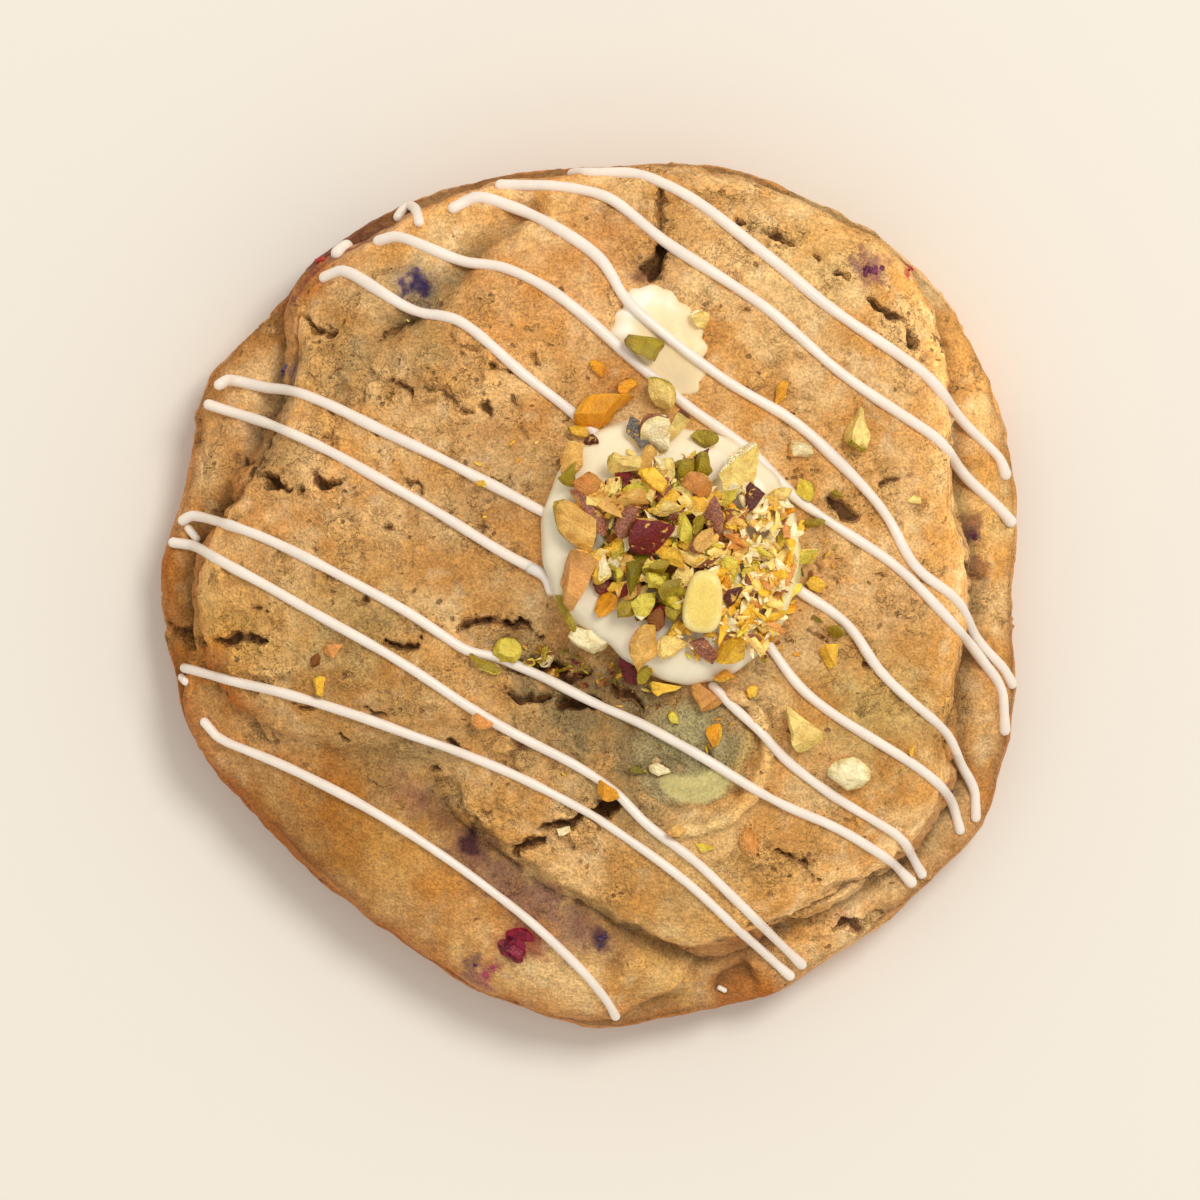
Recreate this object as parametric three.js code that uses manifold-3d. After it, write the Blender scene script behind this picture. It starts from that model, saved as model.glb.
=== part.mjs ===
// Pistachio cookie: a thick cookie, folded and pressed by hand, about 104 mm across and 34 mm high.
// White chocolate is drizzled over it in slanting strands. A white chocolate button lies near the
// middle under a heap of chopped pistachios, and a white chocolate chunk and a green pistachio
// chocolate wafer are sunk in the top. Millimetres, +Z up, resting on its flat underside at z = 0.
// Seen from above, +X is to the right, and every angle is taken anticlockwise from there.

import * as THREE from 'three';
import { mergeVertices } from 'three/addons/utils/BufferGeometryUtils.js';
import Module from 'manifold-3d';

const wasm = await Module();
wasm.setup();

// ---------- driving dimensions ----------

const gap = 0.3; // clear space between two pieces that touch
const middle = { x: -0.09, y: 0.02 }; // middle of the box, as drawn from the middle of the dough
const fullTurn = 2 * Math.PI;

// The dough is three lobes pressed together. Each is a cushion with a radius for every 15 degrees.
const base = {
  radii: [
    50.2, 52.0, 53.9, 55.2, 54.1, 53.4, 51.2, 51.4, 51.6, 49.8, 52.5, 50.3,
    51.0, 49.5, 47.9, 46.7, 46.6, 48.4, 51.2, 50.3, 51.4, 52.4, 53.0, 52.1,
  ],
  floor: 0, // height of its underside
  foot: 0.95, // radius of the underside, as a part of the widest
  widest: 6.5, // height of its widest line
  rise: 8.5, // from there to its top
  fullness: 6, // 2 is a round dome, more is flatter on top
  rows: 3, // rings of facets from the widest line to the top
};
const upper = {
  radii: [
    46.4, 45.8, 49.2, 54.2, 53.2, 52.5, 50.4, 50.4, 50.0, 49.2, 44.4, 46.0,
    48.4, 45.0, 38.0, 30.5, 31.6, 34.0, 38.0, 44.4, 46.2, 48.6, 49.4, 46.0,
  ],
  floor: 3,
  foot: 0.9,
  widest: 15,
  rise: 10,
  fullness: 3,
  rows: 10,
};
const lowerLeft = {
  radii: [
    34, 34, 34, 34, 34, 34, 34, 34, 34, 34, 34, 42,
    47.5, 48.9, 47.4, 46.2, 46.1, 47.8, 50.4, 47, 44, 38, 38, 38,
  ],
  floor: 3,
  foot: 0.9,
  widest: 9,
  rise: 12,
  fullness: 3,
  rows: 6,
};
const lobes = [base, upper, lowerLeft];
const columns = 60; // facets round each lobe
const footRows = 2; // rings of facets below the widest line
const crumble = 0.25; // how far the dough's crumb stands in or out

// Bulges and hollows of the top: [x, y, radius, height].
const bulges = [
  [-3, 36, 12, 1.2],
  [-23, 37, 9, 1.0],
  [25, -20, 16, 0.8],
  [12, -19, 10, 1.0],
  [-7, -9, 8, -2.6],
  [8, 41, 4, -2.0],
];

// Cracks, tears and pressed-in folds of the top: their line, width and depth.
const cracks = [
  { line: [[-5, 47.5], [-12, 44.5], [-17, 38.5], [-22, 34], [-27, 30]], width: 1.8, depth: 2.2 },
  { line: [[8, 50], [8, 45], [7.5, 41], [7, 38]], width: 2.2, depth: 2.6 },
  { line: [[-16.6, -5.4], [-13.6, -3], [-8.8, -3.6], [-5.8, -5.4]], width: 2.0, depth: 2.4 },
  { line: [[-11.2, -11.4], [-5.2, -12.4], [0.8, -12.6]], width: 2.4, depth: 2.2 },
  { line: [[-9.5, -30.8], [-5.8, -29.2], [-2.8, -27], [2.6, -25.4]], width: 2.6, depth: 2.2 },
  { line: [[-39.7, 14.4], [-37, 13.8], [-32.8, 13.2], [-29, 13]], width: 1.8, depth: 1.8 },
  { line: [[-25.6, -5.4], [-23, -6.6], [-20.8, -6.4], [-19.4, -4.8]], width: 1.4, depth: 1.6 },
  { line: [[19, 44], [23.6, 43.2], [27.4, 39]], width: 1.6, depth: 1.6 },
  { line: [[34.4, 34.8], [36.6, 32.6], [38.6, 29.8], [42.2, 29.2]], width: 1.6, depth: 1.8 },
  { line: [[-26, 25.2], [-20, 25.2], [-13.6, 24], [-10, 20.4]], width: 1.2, depth: 1.4 },
  { line: [[26, 9], [29.6, 9.6], [33.8, 12.6], [38, 13.8]], width: 1.4, depth: 1.4 },
  { line: [[-46, -6], [-42.4, -5.4], [-36.4, -5.4]], width: 1.6, depth: 1.6 },
  { line: [[21, -30.6], [24.8, -31.8], [27, -34]], width: 1.4, depth: 1.4 },
];

// The drizzle: each strand's line over the top, and where an end hangs down the side [x, y, height].
const strandRadius = 0.75;
const strandLift = 0.25; // height of a strand's middle above what it lies on
const strandSides = 5;
const strandStep = 5;
const strands = [
  {
    start: [-2.5, 51.3, 12],
    line: [
      [5.6, 50.4], [11.9, 47.2], [21.8, 39.6], [28, 34.4], [39.2, 26.6], [43.4, 21.6], [48.6, 16.6],
    ],
    end: [50.4, 14.4, 9],
  },
  {
    start: [-11.2, 49.8, 13],
    line: [
      [-4.4, 48.8], [2, 47.4], [7.4, 43], [20.6, 34.2], [29.6, 26.4], [41, 18.6], [43.6, 15.2],
      [48.4, 10.6],
    ],
    end: [50.9, 9, 9],
  },
  {
    start: [-16.9, 47, 14],
    line: [
      [-13.6, 47.6], [-6.6, 45], [1, 40], [4.4, 34.6], [15.2, 26], [24.8, 20], [34.2, 10.6],
      [38.2, 3.5], [43.4, -0.6], [45.5, -4.8], [49, -8.6],
    ],
    end: [51.1, -10.8, 9],
  },
  {
    start: [-26, 43, 14],
    line: [
      [-23.2, 42.8], [-14.8, 39.5], [-11, 39.2], [-3.2, 35], [10.4, 23.2], [18.2, 17.6],
      [25.4, 10.6], [36, 3.5], [43.9, -4.6], [49, -11],
    ],
    end: [50.2, -16.4, 9],
  },
  {
    start: [-32.6, 38.6, 14],
    line: [[-29.6, 38.8], [-21, 33.7], [-15.7, 32.6], [-7.6, 25.7], [-2.6, 21.8]],
  },
  {
    line: [[24.4, 0.6], [30.6, -3.8], [34.7, -9.6], [42.1, -16.4], [43.6, -19.6], [45.8, -23]],
    end: [46.7, -27.1, 9],
  },
  {
    start: [-45.5, 25.6, 13],
    line: [[-43.6, 25.8], [-38.2, 24.6], [-34.9, 24.2], [-20.8, 17.6], [-7.6, 10.8]],
  },
  {
    line: [[20.8, -5.9], [26.3, -12.6], [39.2, -20.9], [43, -24.6]],
    end: [44.9, -29.2, 9],
  },
  {
    start: [-46.8, 23.2, 12],
    line: [[-44, 22.2], [-35.2, 19], [-22, 11.9], [-10.6, 5], [-6.8, 3]],
  },
  {
    line: [[15.4, -11.9], [20.3, -16.4], [22, -18.8], [28.2, -23.6], [36.8, -28.8]],
    end: [40.1, -34, 9],
  },
  {
    start: [-50, 9.1, 10],
    line: [
      [-48, 9.6], [-38.2, 6.4], [-23.2, -1.4], [-14.5, -7], [-11.6, -7.3], [0.8, -13.1], [9, -16.9],
      [21.2, -24.2], [29, -27.7], [35.6, -31.6],
    ],
    end: [38.8, -35, 8],
  },
  {
    start: [-51.2, 6.4, 9],
    line: [
      [-47.6, 5.9], [-35.2, -1], [-23.2, -7.8], [-13, -14.4], [0.8, -22], [6, -27], [12.8, -32.2],
      [22.2, -41.6],
    ],
    end: [25.9, -45.5, 7],
  },
  {
    start: [-49.8, -8.9, 9],
    line: [
      [-47, -9.2], [-32.2, -13], [-14.2, -19.4], [-2.2, -25.1], [9.2, -32.6], [16.2, -38.8],
      [22.4, -44.6],
    ],
    end: [24.2, -46.6, 7],
  },
  {
    start: [-47.3, -15.5, 9],
    line: [[-44.8, -17.2], [-35.2, -21.1], [-22.6, -28], [-9.4, -37.4], [-1.6, -44.5], [1.8, -48.6]],
    end: [2.9, -51.6, 8],
  },
];

// Pieces sunk in the top, with a radius for every 30 degrees and how far they stand proud.
const chunk = {
  x: 7.9, y: 30.4, radii: [5.0, 4.8, 5.4, 6.6, 6.6, 6.0, 5.4, 4.4, 4.2, 4.6, 6.2, 6.6],
  depth: 4, proud: 0.6,
};
const wafer = {
  x: 11.4, y: -18.8, radii: [8.4, 8.2, 7.3, 6.8, 7.2, 8.1, 8.6, 8.2, 7.4, 7.0, 7.3, 8.1],
  depth: 3, proud: 0.6,
};
const sunkColumns = 20;

// The button, a radius for every 30 degrees: its side is [part of that radius, height].
const button = {
  x: 9.4, y: 4.8,
  radii: [15.5, 15.3, 15.2, 15.6, 16.9, 16.4, 15.6, 14.6, 13.3, 15.0, 15.8, 15.4],
  side: [[1.02, 21.5], [1.0, 26.6], [0.965, 27.9], [0.88, 28.7], [0.66, 29.2], [0.33, 29.4]],
  top: 29.4,
};

// The heap's core of finely chopped nuts, drawn in the same way.
const core = {
  x: 11.2, y: 5.4,
  radii: [10.6, 11.0, 11.6, 10.4, 10.6, 11.4, 11.6, 11.0, 9.4, 11.4, 12.0, 11.4],
  side: [[1.0, 27.5], [0.97, 29.6], [0.8, 30.9], [0.5, 31.5]],
  top: 31.6,
};
const roundColumns = 24;

// Chopped pistachios: [x, y, length, width, angle of the length].
const scattered = [
  [31.7, 19.6, 5.0, 3.4, 114], [25.0, -15.8, 5.3, 4.8, 80], [30.4, -21.4, 4.8, 3.8, -5],
  [6.1, 29.4, 4.8, 4.4, 20], [12.9, 32.8, 2.8, 2.0, -50], [24.8, 17.2, 2.9, 2.6, -60],
  [22.4, 24.2, 2.8, 1.6, 55], [0.7, 27.0, 2.6, 1.5, -50], [4.0, 24.8, 2.6, 1.9, 0],
  [27.0, 13.0, 2.6, 2.3, 90], [27.4, 8.8, 3.0, 1.5, 20], [28.4, -7.2, 3.1, 2.6, 90],
  [27.6, 1.4, 2.4, 2.2, 30], [14.4, -16.6, 2.6, 1.8, 80], [1.9, -23.2, 2.6, 2.2, 90],
  [18.7, -29.4, 3.4, 2.4, 100], [13.4, -30.2, 2.4, 1.2, 0], [-32.8, -10.8, 2.3, 2.0, 60],
  [-31.0, -6.6, 2.2, 1.8, 10], [-10.0, -6.8, 3.2, 2.7, -30], [-13.2, -8.4, 4.0, 1.5, -30],
  [-5.4, -7.9, 2.4, 2.0, 80], [-13.3, -15.2, 2.6, 1.8, -20], [7.0, -21.0, 3.6, 1.5, 5],
  [10.1, -28.6, 2.4, 1.4, 20],
];
const heaped = [
  [7.9, 18.6, 4.8, 3.4, -50], [9.8, 18.0, 4.1, 3.8, 90], [13.4, 17.2, 3.6, 2.2, -5],
  [5.3, 18.0, 4.1, 2.6, -70], [-2.4, 16.0, 4.8, 2.8, 65], [-1.6, 13.8, 2.8, 2.6, 20],
  [4.1, 15.6, 5.0, 3.4, -30], [-0.2, 13.0, 4.3, 2.9, -15], [0.2, 9.8, 6.6, 2.4, -55],
  [7.6, 13.7, 4.0, 2.2, -35], [10.6, 15.2, 2.6, 1.8, 0], [13.2, 15.4, 2.6, 2.0, 20],
  [12.6, 13.0, 3.6, 3.2, -60], [17.6, 14.4, 6.2, 4.2, 35], [18.6, 11.2, 4.0, 2.8, 70],
  [4.3, 8.8, 3.8, 2.8, 60], [6.7, 7.3, 5.6, 4.8, -30], [-1.8, 8.3, 7.0, 4.6, -45],
  [2.3, 10.4, 3.8, 2.8, -50], [10.9, 7.4, 3.8, 2.2, 75], [14.3, 9.4, 5.0, 3.0, -65],
  [19.4, 8.5, 4.8, 2.0, 8], [-1.4, 1.8, 7.0, 5.0, 80], [1.6, 3.3, 3.2, 2.2, 65],
  [4.7, 2.9, 6.0, 2.5, 70], [5.9, -0.8, 3.8, 2.6, -75], [7.4, 2.9, 2.6, 2.2, 0],
  [9.1, 0.7, 2.8, 2.4, 40], [13.1, -0.8, 7.4, 4.6, 85], [16.3, 3.0, 3.5, 2.2, -65],
  [16.7, 0.1, 2.8, 2.4, 70], [1.8, -0.8, 3.2, 2.4, 20], [1.8, -3.6, 4.8, 4.2, 25],
  [6.2, -5.2, 5.6, 3.8, 80], [9.4, -5.4, 3.4, 2.8, 10], [13.1, -5.8, 3.8, 2.6, -25],
  [16.4, -5.8, 4.3, 3.2, 60], [19.6, -3.0, 3.2, 1.8, -60], [20.4, 4.6, 2.8, 2.2, 40],
  [20.6, 0.8, 2.6, 2.2, -20], [18.2, 5.6, 2.8, 2.4, 10], [12.4, 4.0, 2.8, 2.4, 70],
];
const kernelThickness = 0.7; // a chopped piece's height as a part of its width
const sitHeight = 0.32; // its middle's height above what it lies on, as a part of its own
const heapStack = 0.8; // how much higher each third piece of the heap lies

// ---------- working functions ----------

// A repeatable run of numbers from 0 to 1.
function randomFrom(seed) {
  let state = seed;
  return () => {
    state = (state * 1664525 + 1013904223) % 2 ** 32;
    return state / 2 ** 32;
  };
}

// An outline's radius at an angle, on a smooth closed curve through its evenly spaced radii.
function radiusAt(radii, angle) {
  const count = radii.length;
  const place = (((angle / fullTurn) * count) % count + count) % count;
  const at = Math.floor(place);
  const t = place - at;
  const [a, b, c, d] = [-1, 0, 1, 2].map((k) => radii[(at + k + count) % count]);
  return b + 0.5 * t * (c - a + t * (2 * a - 5 * b + 4 * c - d + t * (3 * (b - c) + d - a)));
}

// The slow swell of the top, with its bulges and hollows.
function swell(x, y) {
  let height = 0.45 * Math.sin(x / 7 + 1.3) * Math.cos(y / 9 - 0.7) + 0.3 * Math.sin((x + y) / 5.2);
  for (const [cx, cy, radius, rise] of bulges) {
    height += rise * Math.exp(-((x - cx) ** 2 + (y - cy) ** 2) / radius ** 2 * 2);
  }
  return height;
}

// Height of a lobe's top at a part of its radius.
function domeHeight(lobe, part, x, y) {
  return lobe.widest + (lobe.rise + swell(x, y)) * Math.sqrt(Math.max(0, 1 - part ** lobe.fullness));
}

// Height of the bare dough's top.
function doughTop(x, y) {
  const heights = lobes.map((lobe) => {
    const part = Math.hypot(x, y) / radiusAt(lobe.radii, Math.atan2(y, x));
    return part < 1 ? domeHeight(lobe, part, x, y) : 0;
  });
  return Math.max(...heights);
}

// Radius of the dough's side at a height.
function doughSide(angle, z) {
  const reaches = lobes.map((lobe) => {
    const radius = radiusAt(lobe.radii, angle);
    if (z > lobe.widest) {
      const up = Math.min(1, (z - lobe.widest) / lobe.rise);
      return radius * (1 - up ** 2) ** (1 / lobe.fullness);
    }
    const down = Math.min(1, (lobe.widest - z) / (lobe.widest - lobe.floor));
    return radius * (lobe.foot + (1 - lobe.foot) * Math.sqrt(1 - down ** 2));
  });
  return Math.max(...reaches);
}

// Height of a piece sunk in the top, or nothing outside it.
function sunkTop(piece, x, y) {
  const angle = Math.atan2(y - piece.y, x - piece.x);
  const part = Math.hypot(x - piece.x, y - piece.y) / radiusAt(piece.radii, angle);
  return part < 1 ? doughTop(x, y) + piece.proud * (1 - part ** 4) : 0;
}

// Height of whatever a strand or a nut lies on.
function restTop(x, y) {
  return Math.max(doughTop(x, y), sunkTop(chunk, x, y), sunkTop(wafer, x, y));
}

// A closed skin over rings of points, with a fan to one point at each end.
function loft(rings, first, last) {
  const sides = rings[0].length;
  const points = [first, ...rings.flat(), last];
  const at = (ring, side) => 1 + ring * sides + (side % sides);
  const faces = [];
  for (let side = 0; side < sides; side += 1) {
    faces.push(0, at(0, side + 1), at(0, side));
    faces.push(at(rings.length - 1, side), at(rings.length - 1, side + 1), points.length - 1);
    for (let ring = 0; ring + 1 < rings.length; ring += 1) {
      faces.push(at(ring, side), at(ring, side + 1), at(ring + 1, side + 1));
      faces.push(at(ring, side), at(ring + 1, side + 1), at(ring + 1, side));
    }
  }
  const skin = new THREE.BufferGeometry().setFromPoints(points);
  skin.setIndex(faces);
  return skin;
}

// A closed geometry as a solid that can be cut and joined.
function solid(geometry) {
  geometry.deleteAttribute('normal');
  geometry.deleteAttribute('uv');
  const merged = mergeVertices(geometry);
  return new wasm.Manifold(new wasm.Mesh({
    numProp: 3,
    vertProperties: new Float32Array(merged.attributes.position.array),
    triVerts: new Uint32Array(merged.index.array),
  }));
}

// The largest body of a solid, without loose scraps and with shut hollows filled.
function wholeBody(body) {
  return body.decompose().sort((a, b) => b.volume() - a.volume())[0];
}

function geometryOf(body) {
  const mesh = body.getMesh();
  const geometry = new THREE.BufferGeometry();
  geometry.setAttribute('position', new THREE.BufferAttribute(mesh.vertProperties, 3));
  geometry.setIndex(new THREE.BufferAttribute(mesh.triVerts, 1));
  return geometry;
}

// The same solid a gap higher, which cuts what lies on it clear.
function raised(body) {
  return solid(geometryOf(body).translate(0, 0, gap));
}

function joined(bodies) {
  return bodies.reduce((all, body) => all.add(body));
}

// ---------- dough ----------

function lobeSolid(lobe, seed) {
  const random = randomFrom(seed);
  const ring = (part, height, rough) => Array.from({ length: columns }, (_, column) => {
    const angle = (column / columns) * fullTurn;
    const radius = radiusAt(lobe.radii, angle) * part + (random() - 0.5) * 2 * rough;
    const x = radius * Math.cos(angle);
    const y = radius * Math.sin(angle);
    return new THREE.Vector3(x, y, height(x, y) + (random() - 0.5) * 2 * rough);
  });
  const rings = [];
  for (let row = footRows; row > 0; row -= 1) {
    const slope = (row / footRows) * Math.PI / 2;
    const part = lobe.foot + (1 - lobe.foot) * Math.cos(slope);
    const z = lobe.widest - (lobe.widest - lobe.floor) * Math.sin(slope);
    rings.push(ring(part, () => z, row === footRows ? 0 : crumble));
  }
  for (let row = 0; row < lobe.rows; row += 1) {
    const part = 1 - (row / lobe.rows) ** 1.5;
    rings.push(ring(part, (x, y) => domeHeight(lobe, part, x, y), crumble));
  }
  const foot = new THREE.Vector3(0, 0, lobe.floor);
  const crown = new THREE.Vector3(0, 0, domeHeight(lobe, 0, 0, 0));
  return solid(loft(rings, foot, crown));
}

// A wedge along a crack's line, tapering to nothing at both ends, that is cut out of the dough.
function crackSolid({ line, width, depth }, seed) {
  const random = randomFrom(seed);
  const curve = new THREE.CatmullRomCurve3(line.map(([x, y]) => new THREE.Vector3(x, y, 0)));
  const steps = Math.ceil(curve.getLength() / 2.2);
  const above = 1.2;
  const rings = [];
  for (let step = 0; step <= steps; step += 1) {
    const taper = 0.25 + 0.75 * Math.sin((step / steps) * Math.PI);
    const point = curve.getPointAt(step / steps);
    const along = curve.getTangentAt(step / steps);
    const left = new THREE.Vector3(-along.y, along.x, 0);
    point.addScaledVector(left, (random() - 0.5) * width * 0.6);
    const top = doughTop(point.x, point.y);
    const reach = (width / 2) * taper * (0.75 + 0.5 * random()) * (1 + above / depth);
    rings.push([
      point.clone().addScaledVector(left, reach).setZ(top + above),
      point.clone().addScaledVector(left, -reach).setZ(top + above),
      point.clone().setZ(top - depth * taper),
    ]);
  }
  const middleOf = (ring) => ring[0].clone().add(ring[1]).add(ring[2]).divideScalar(3);
  return solid(loft(rings, middleOf(rings[0]), middleOf(rings[rings.length - 1])));
}

// ---------- drizzle ----------

// A point of a strand's middle line, standing off the top along its slope.
function strandPoint(x, y) {
  const step = 0.5;
  const slopeX = (restTop(x + step, y) - restTop(x - step, y)) / (2 * step);
  const slopeY = (restTop(x, y + step) - restTop(x, y - step)) / (2 * step);
  const off = new THREE.Vector3(-slopeX, -slopeY, 1).normalize();
  return new THREE.Vector3(x, y, restTop(x, y)).addScaledVector(off, strandLift);
}

// A point of a strand that hangs down the side at a height.
function hangingPoint([x, y, z]) {
  const angle = Math.atan2(y, x);
  const radius = doughSide(angle, z) + strandLift;
  return new THREE.Vector3(radius * Math.cos(angle), radius * Math.sin(angle), z);
}

function hangingEnd(end, next) {
  const half = [(end[0] + next.x) / 2, (end[1] + next.y) / 2, (end[2] + next.z) / 2];
  return [hangingPoint(end), hangingPoint(half)];
}

function strandSolid({ start, line, end }) {
  const flat = new THREE.CatmullRomCurve3(line.map(([x, y]) => new THREE.Vector3(x, y, 0)));
  const points = flat.getSpacedPoints(Math.ceil(flat.getLength() / strandStep));
  const route = points.map(({ x, y }) => strandPoint(x, y));
  for (let at = 1; at + 1 < route.length; at += 1) {
    route[at].z = Math.max(route[at].z, (route[at - 1].z + route[at + 1].z) / 2);
  }
  if (start) route.unshift(...hangingEnd(start, route[0]));
  if (end) route.push(...hangingEnd(end, route[route.length - 1]).reverse());
  const path = new THREE.CatmullRomCurve3(route);
  const section = new THREE.Shape();
  for (let side = 0; side < strandSides; side += 1) {
    const angle = (side / strandSides) * fullTurn;
    const corner = [strandRadius * Math.cos(angle), strandRadius * Math.sin(angle)];
    if (side === 0) section.moveTo(...corner);
    else section.lineTo(...corner);
  }
  const steps = Math.ceil(path.getLength() / strandStep);
  return solid(new THREE.ExtrudeGeometry(section, { steps, extrudePath: path, bevelEnabled: false }));
}

// ---------- sunk pieces, button and heap ----------

// A ring round a piece with its own outline.
function outlineRing(piece, count, part, grow, height) {
  return Array.from({ length: count }, (_, column) => {
    const angle = (column / count) * fullTurn;
    const radius = radiusAt(piece.radii, angle) * part + grow;
    const x = piece.x + radius * Math.cos(angle);
    const y = piece.y + radius * Math.sin(angle);
    return new THREE.Vector3(x, y, height(x, y));
  });
}

// The upright column that a piece fills, grown outwards and downwards.
function column(piece, bottom, grow) {
  const top = 45;
  const rings = [bottom - grow, top].map((z) => outlineRing(piece, sunkColumns, 1, grow, () => z));
  const ends = [bottom - grow, top].map((z) => new THREE.Vector3(piece.x, piece.y, z));
  return solid(loft(rings, ...ends));
}

function sunkBottom(piece) {
  return doughTop(piece.x, piece.y) - piece.depth;
}

// A sunk piece follows the dough's top, with a rounded edge.
function sunkSolid(piece) {
  const bottom = sunkBottom(piece);
  const rings = [outlineRing(piece, sunkColumns, 1, 0, () => bottom)];
  for (const part of [1, 0.93, 0.72, 0.4]) {
    const proud = piece.proud * (1 - part ** 4);
    rings.push(outlineRing(piece, sunkColumns, part, 0, (x, y) => doughTop(x, y) + proud));
  }
  const crown = doughTop(piece.x, piece.y) + piece.proud;
  const ends = [bottom, crown].map((z) => new THREE.Vector3(piece.x, piece.y, z));
  return solid(loft(rings, ...ends));
}

// A round body, set by its outline and its side.
function roundSolid(piece) {
  const rings = piece.side.map(([part, z]) => outlineRing(piece, roundColumns, part, 0, () => z));
  const ends = [piece.side[0][1], piece.top].map((z) => new THREE.Vector3(piece.x, piece.y, z));
  return solid(loft(rings, ...ends));
}

// Height of a round body's top.
function roundTop(piece, x, y) {
  const angle = Math.atan2(y - piece.y, x - piece.x);
  const part = Math.hypot(x - piece.x, y - piece.y) / radiusAt(piece.radii, angle);
  const line = [...piece.side.slice(1), [0, piece.top]];
  if (part > line[0][0]) return doughTop(x, y);
  const at = line.findIndex(([inner]) => inner <= part);
  if (at < 1) return piece.top;
  const [outer, low] = line[at - 1];
  const [inner, high] = line[at];
  return low + (high - low) * (outer - part) / (outer - inner);
}

// A chopped kernel: a lump of flat faces, set down at a height.
function nutSolid([x, y, length, width, degrees], z, random) {
  const lump = new THREE.IcosahedronGeometry(1, 0);
  lump.deleteAttribute('normal');
  lump.deleteAttribute('uv');
  const nut = mergeVertices(lump);
  const corners = nut.attributes.position;
  for (let corner = 0; corner < corners.count; corner += 1) {
    const reach = 0.8 + 0.3 * random();
    corners.setXYZ(corner, ...[corners.getX(corner), corners.getY(corner), corners.getZ(corner)]
      .map((value) => value * reach));
  }
  const thickness = width * kernelThickness;
  nut.scale(length / 2, width / 2, thickness / 2);
  nut.rotateX((random() - 0.5) * 0.5);
  nut.rotateY((random() - 0.5) * 0.5);
  nut.rotateZ(THREE.MathUtils.degToRad(degrees));
  nut.translate(x, y, z + thickness * sitHeight);
  return solid(nut);
}

// ---------- the pieces ----------

const buttonColumn = column(button, 15, gap);
const chunkBottom = sunkBottom(chunk);
const waferBottom = sunkBottom(wafer);
const dough = cracks
  .map((crack, at) => crackSolid(crack, 40 + at))
  .reduce((body, cut) => body.subtract(cut), joined(lobes.map((lobe, at) => lobeSolid(lobe, 7 + at))));

const scatterRandom = randomFrom(301);
const toppings = joined([
  ...strands.map(strandSolid),
  ...scattered.map((nut) => nutSolid(nut, restTop(nut[0], nut[1]), scatterRandom)),
]);

const cookie = wholeBody(dough
  .add(toppings.subtract(buttonColumn))
  .subtract(column(chunk, chunkBottom, gap))
  .subtract(column(wafer, waferBottom, gap)));
const whiteChunk = wholeBody(sunkSolid(chunk).add(toppings).intersect(column(chunk, chunkBottom, 0)));
const greenWafer = wholeBody(sunkSolid(wafer).add(toppings).intersect(column(wafer, waferBottom, 0)));
const whiteButton = wholeBody(roundSolid(button).subtract(raised(dough)));

const heapRandom = randomFrom(77);
const heapPieces = heaped.map((nut, at) => {
  const under = Math.max(roundTop(button, nut[0], nut[1]), roundTop(core, nut[0], nut[1]));
  return nutSolid(nut, under + (at % 3 === 0 ? heapStack : 0), heapRandom);
});
const heap = wholeBody(joined([roundSolid(core), ...heapPieces])
  .subtract(raised(whiteButton))
  .subtract(raised(cookie)));

const finishes = {
  dough: { color: 0xd0a063, roughness: 0.85, metalness: 0 },
  whiteChocolate: { color: 0xf3e6cb, roughness: 0.4, metalness: 0 },
  greenChocolate: { color: 0xc9bb7f, roughness: 0.6, metalness: 0 },
  pistachio: { color: 0xb59a3e, roughness: 0.7, metalness: 0 },
};

const group = new THREE.Group();
const pieces = [
  ['cookie', cookie, finishes.dough],
  ['white_button', whiteButton, finishes.whiteChocolate],
  ['pistachio_heap', heap, finishes.pistachio],
  ['white_chunk', whiteChunk, finishes.whiteChocolate],
  ['pistachio_wafer', greenWafer, finishes.greenChocolate],
];
for (const [name, body, finish] of pieces) {
  const mesh = new THREE.Mesh(geometryOf(body), new THREE.MeshStandardMaterial(finish));
  mesh.name = name;
  mesh.position.set(-middle.x, -middle.y, 0);
  group.add(mesh);
}

export default group;
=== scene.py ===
"""A pistachio cookie, seen from straight above: baked dough in three folded lobes, white chocolate
drizzle, a white chocolate button under chopped pistachios, a white chocolate chunk and a wafer of
green pistachio chocolate. Shapes are worked out in millimetres and written in metres."""

import functools
import itertools
import math

import bmesh
import bpy
import numpy as np
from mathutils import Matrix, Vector
from mathutils.bvhtree import BVHTree


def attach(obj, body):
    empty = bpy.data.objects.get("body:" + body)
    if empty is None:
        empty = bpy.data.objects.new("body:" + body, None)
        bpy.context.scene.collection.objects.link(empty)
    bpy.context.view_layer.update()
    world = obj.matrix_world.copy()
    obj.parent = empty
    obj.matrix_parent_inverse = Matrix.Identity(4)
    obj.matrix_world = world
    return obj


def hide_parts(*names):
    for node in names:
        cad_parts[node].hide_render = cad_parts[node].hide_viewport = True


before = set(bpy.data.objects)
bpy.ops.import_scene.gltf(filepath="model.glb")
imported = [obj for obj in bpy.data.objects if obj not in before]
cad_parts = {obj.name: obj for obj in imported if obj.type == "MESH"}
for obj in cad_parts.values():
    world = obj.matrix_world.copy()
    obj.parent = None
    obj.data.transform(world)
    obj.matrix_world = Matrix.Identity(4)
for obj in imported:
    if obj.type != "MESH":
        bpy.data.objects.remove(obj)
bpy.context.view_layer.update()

# ---------- driving sizes, millimetres ----------

MM = 0.001
DRAWN_MIDDLE = np.array([-0.09, 0.02, 0.0])  # the frame's origin, as drawn from the dough's middle
TURN = 2 * math.pi
VOXEL = 0.44  # spacing of the dough's mesh
DOUGH_TRIANGLES = 190000

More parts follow.
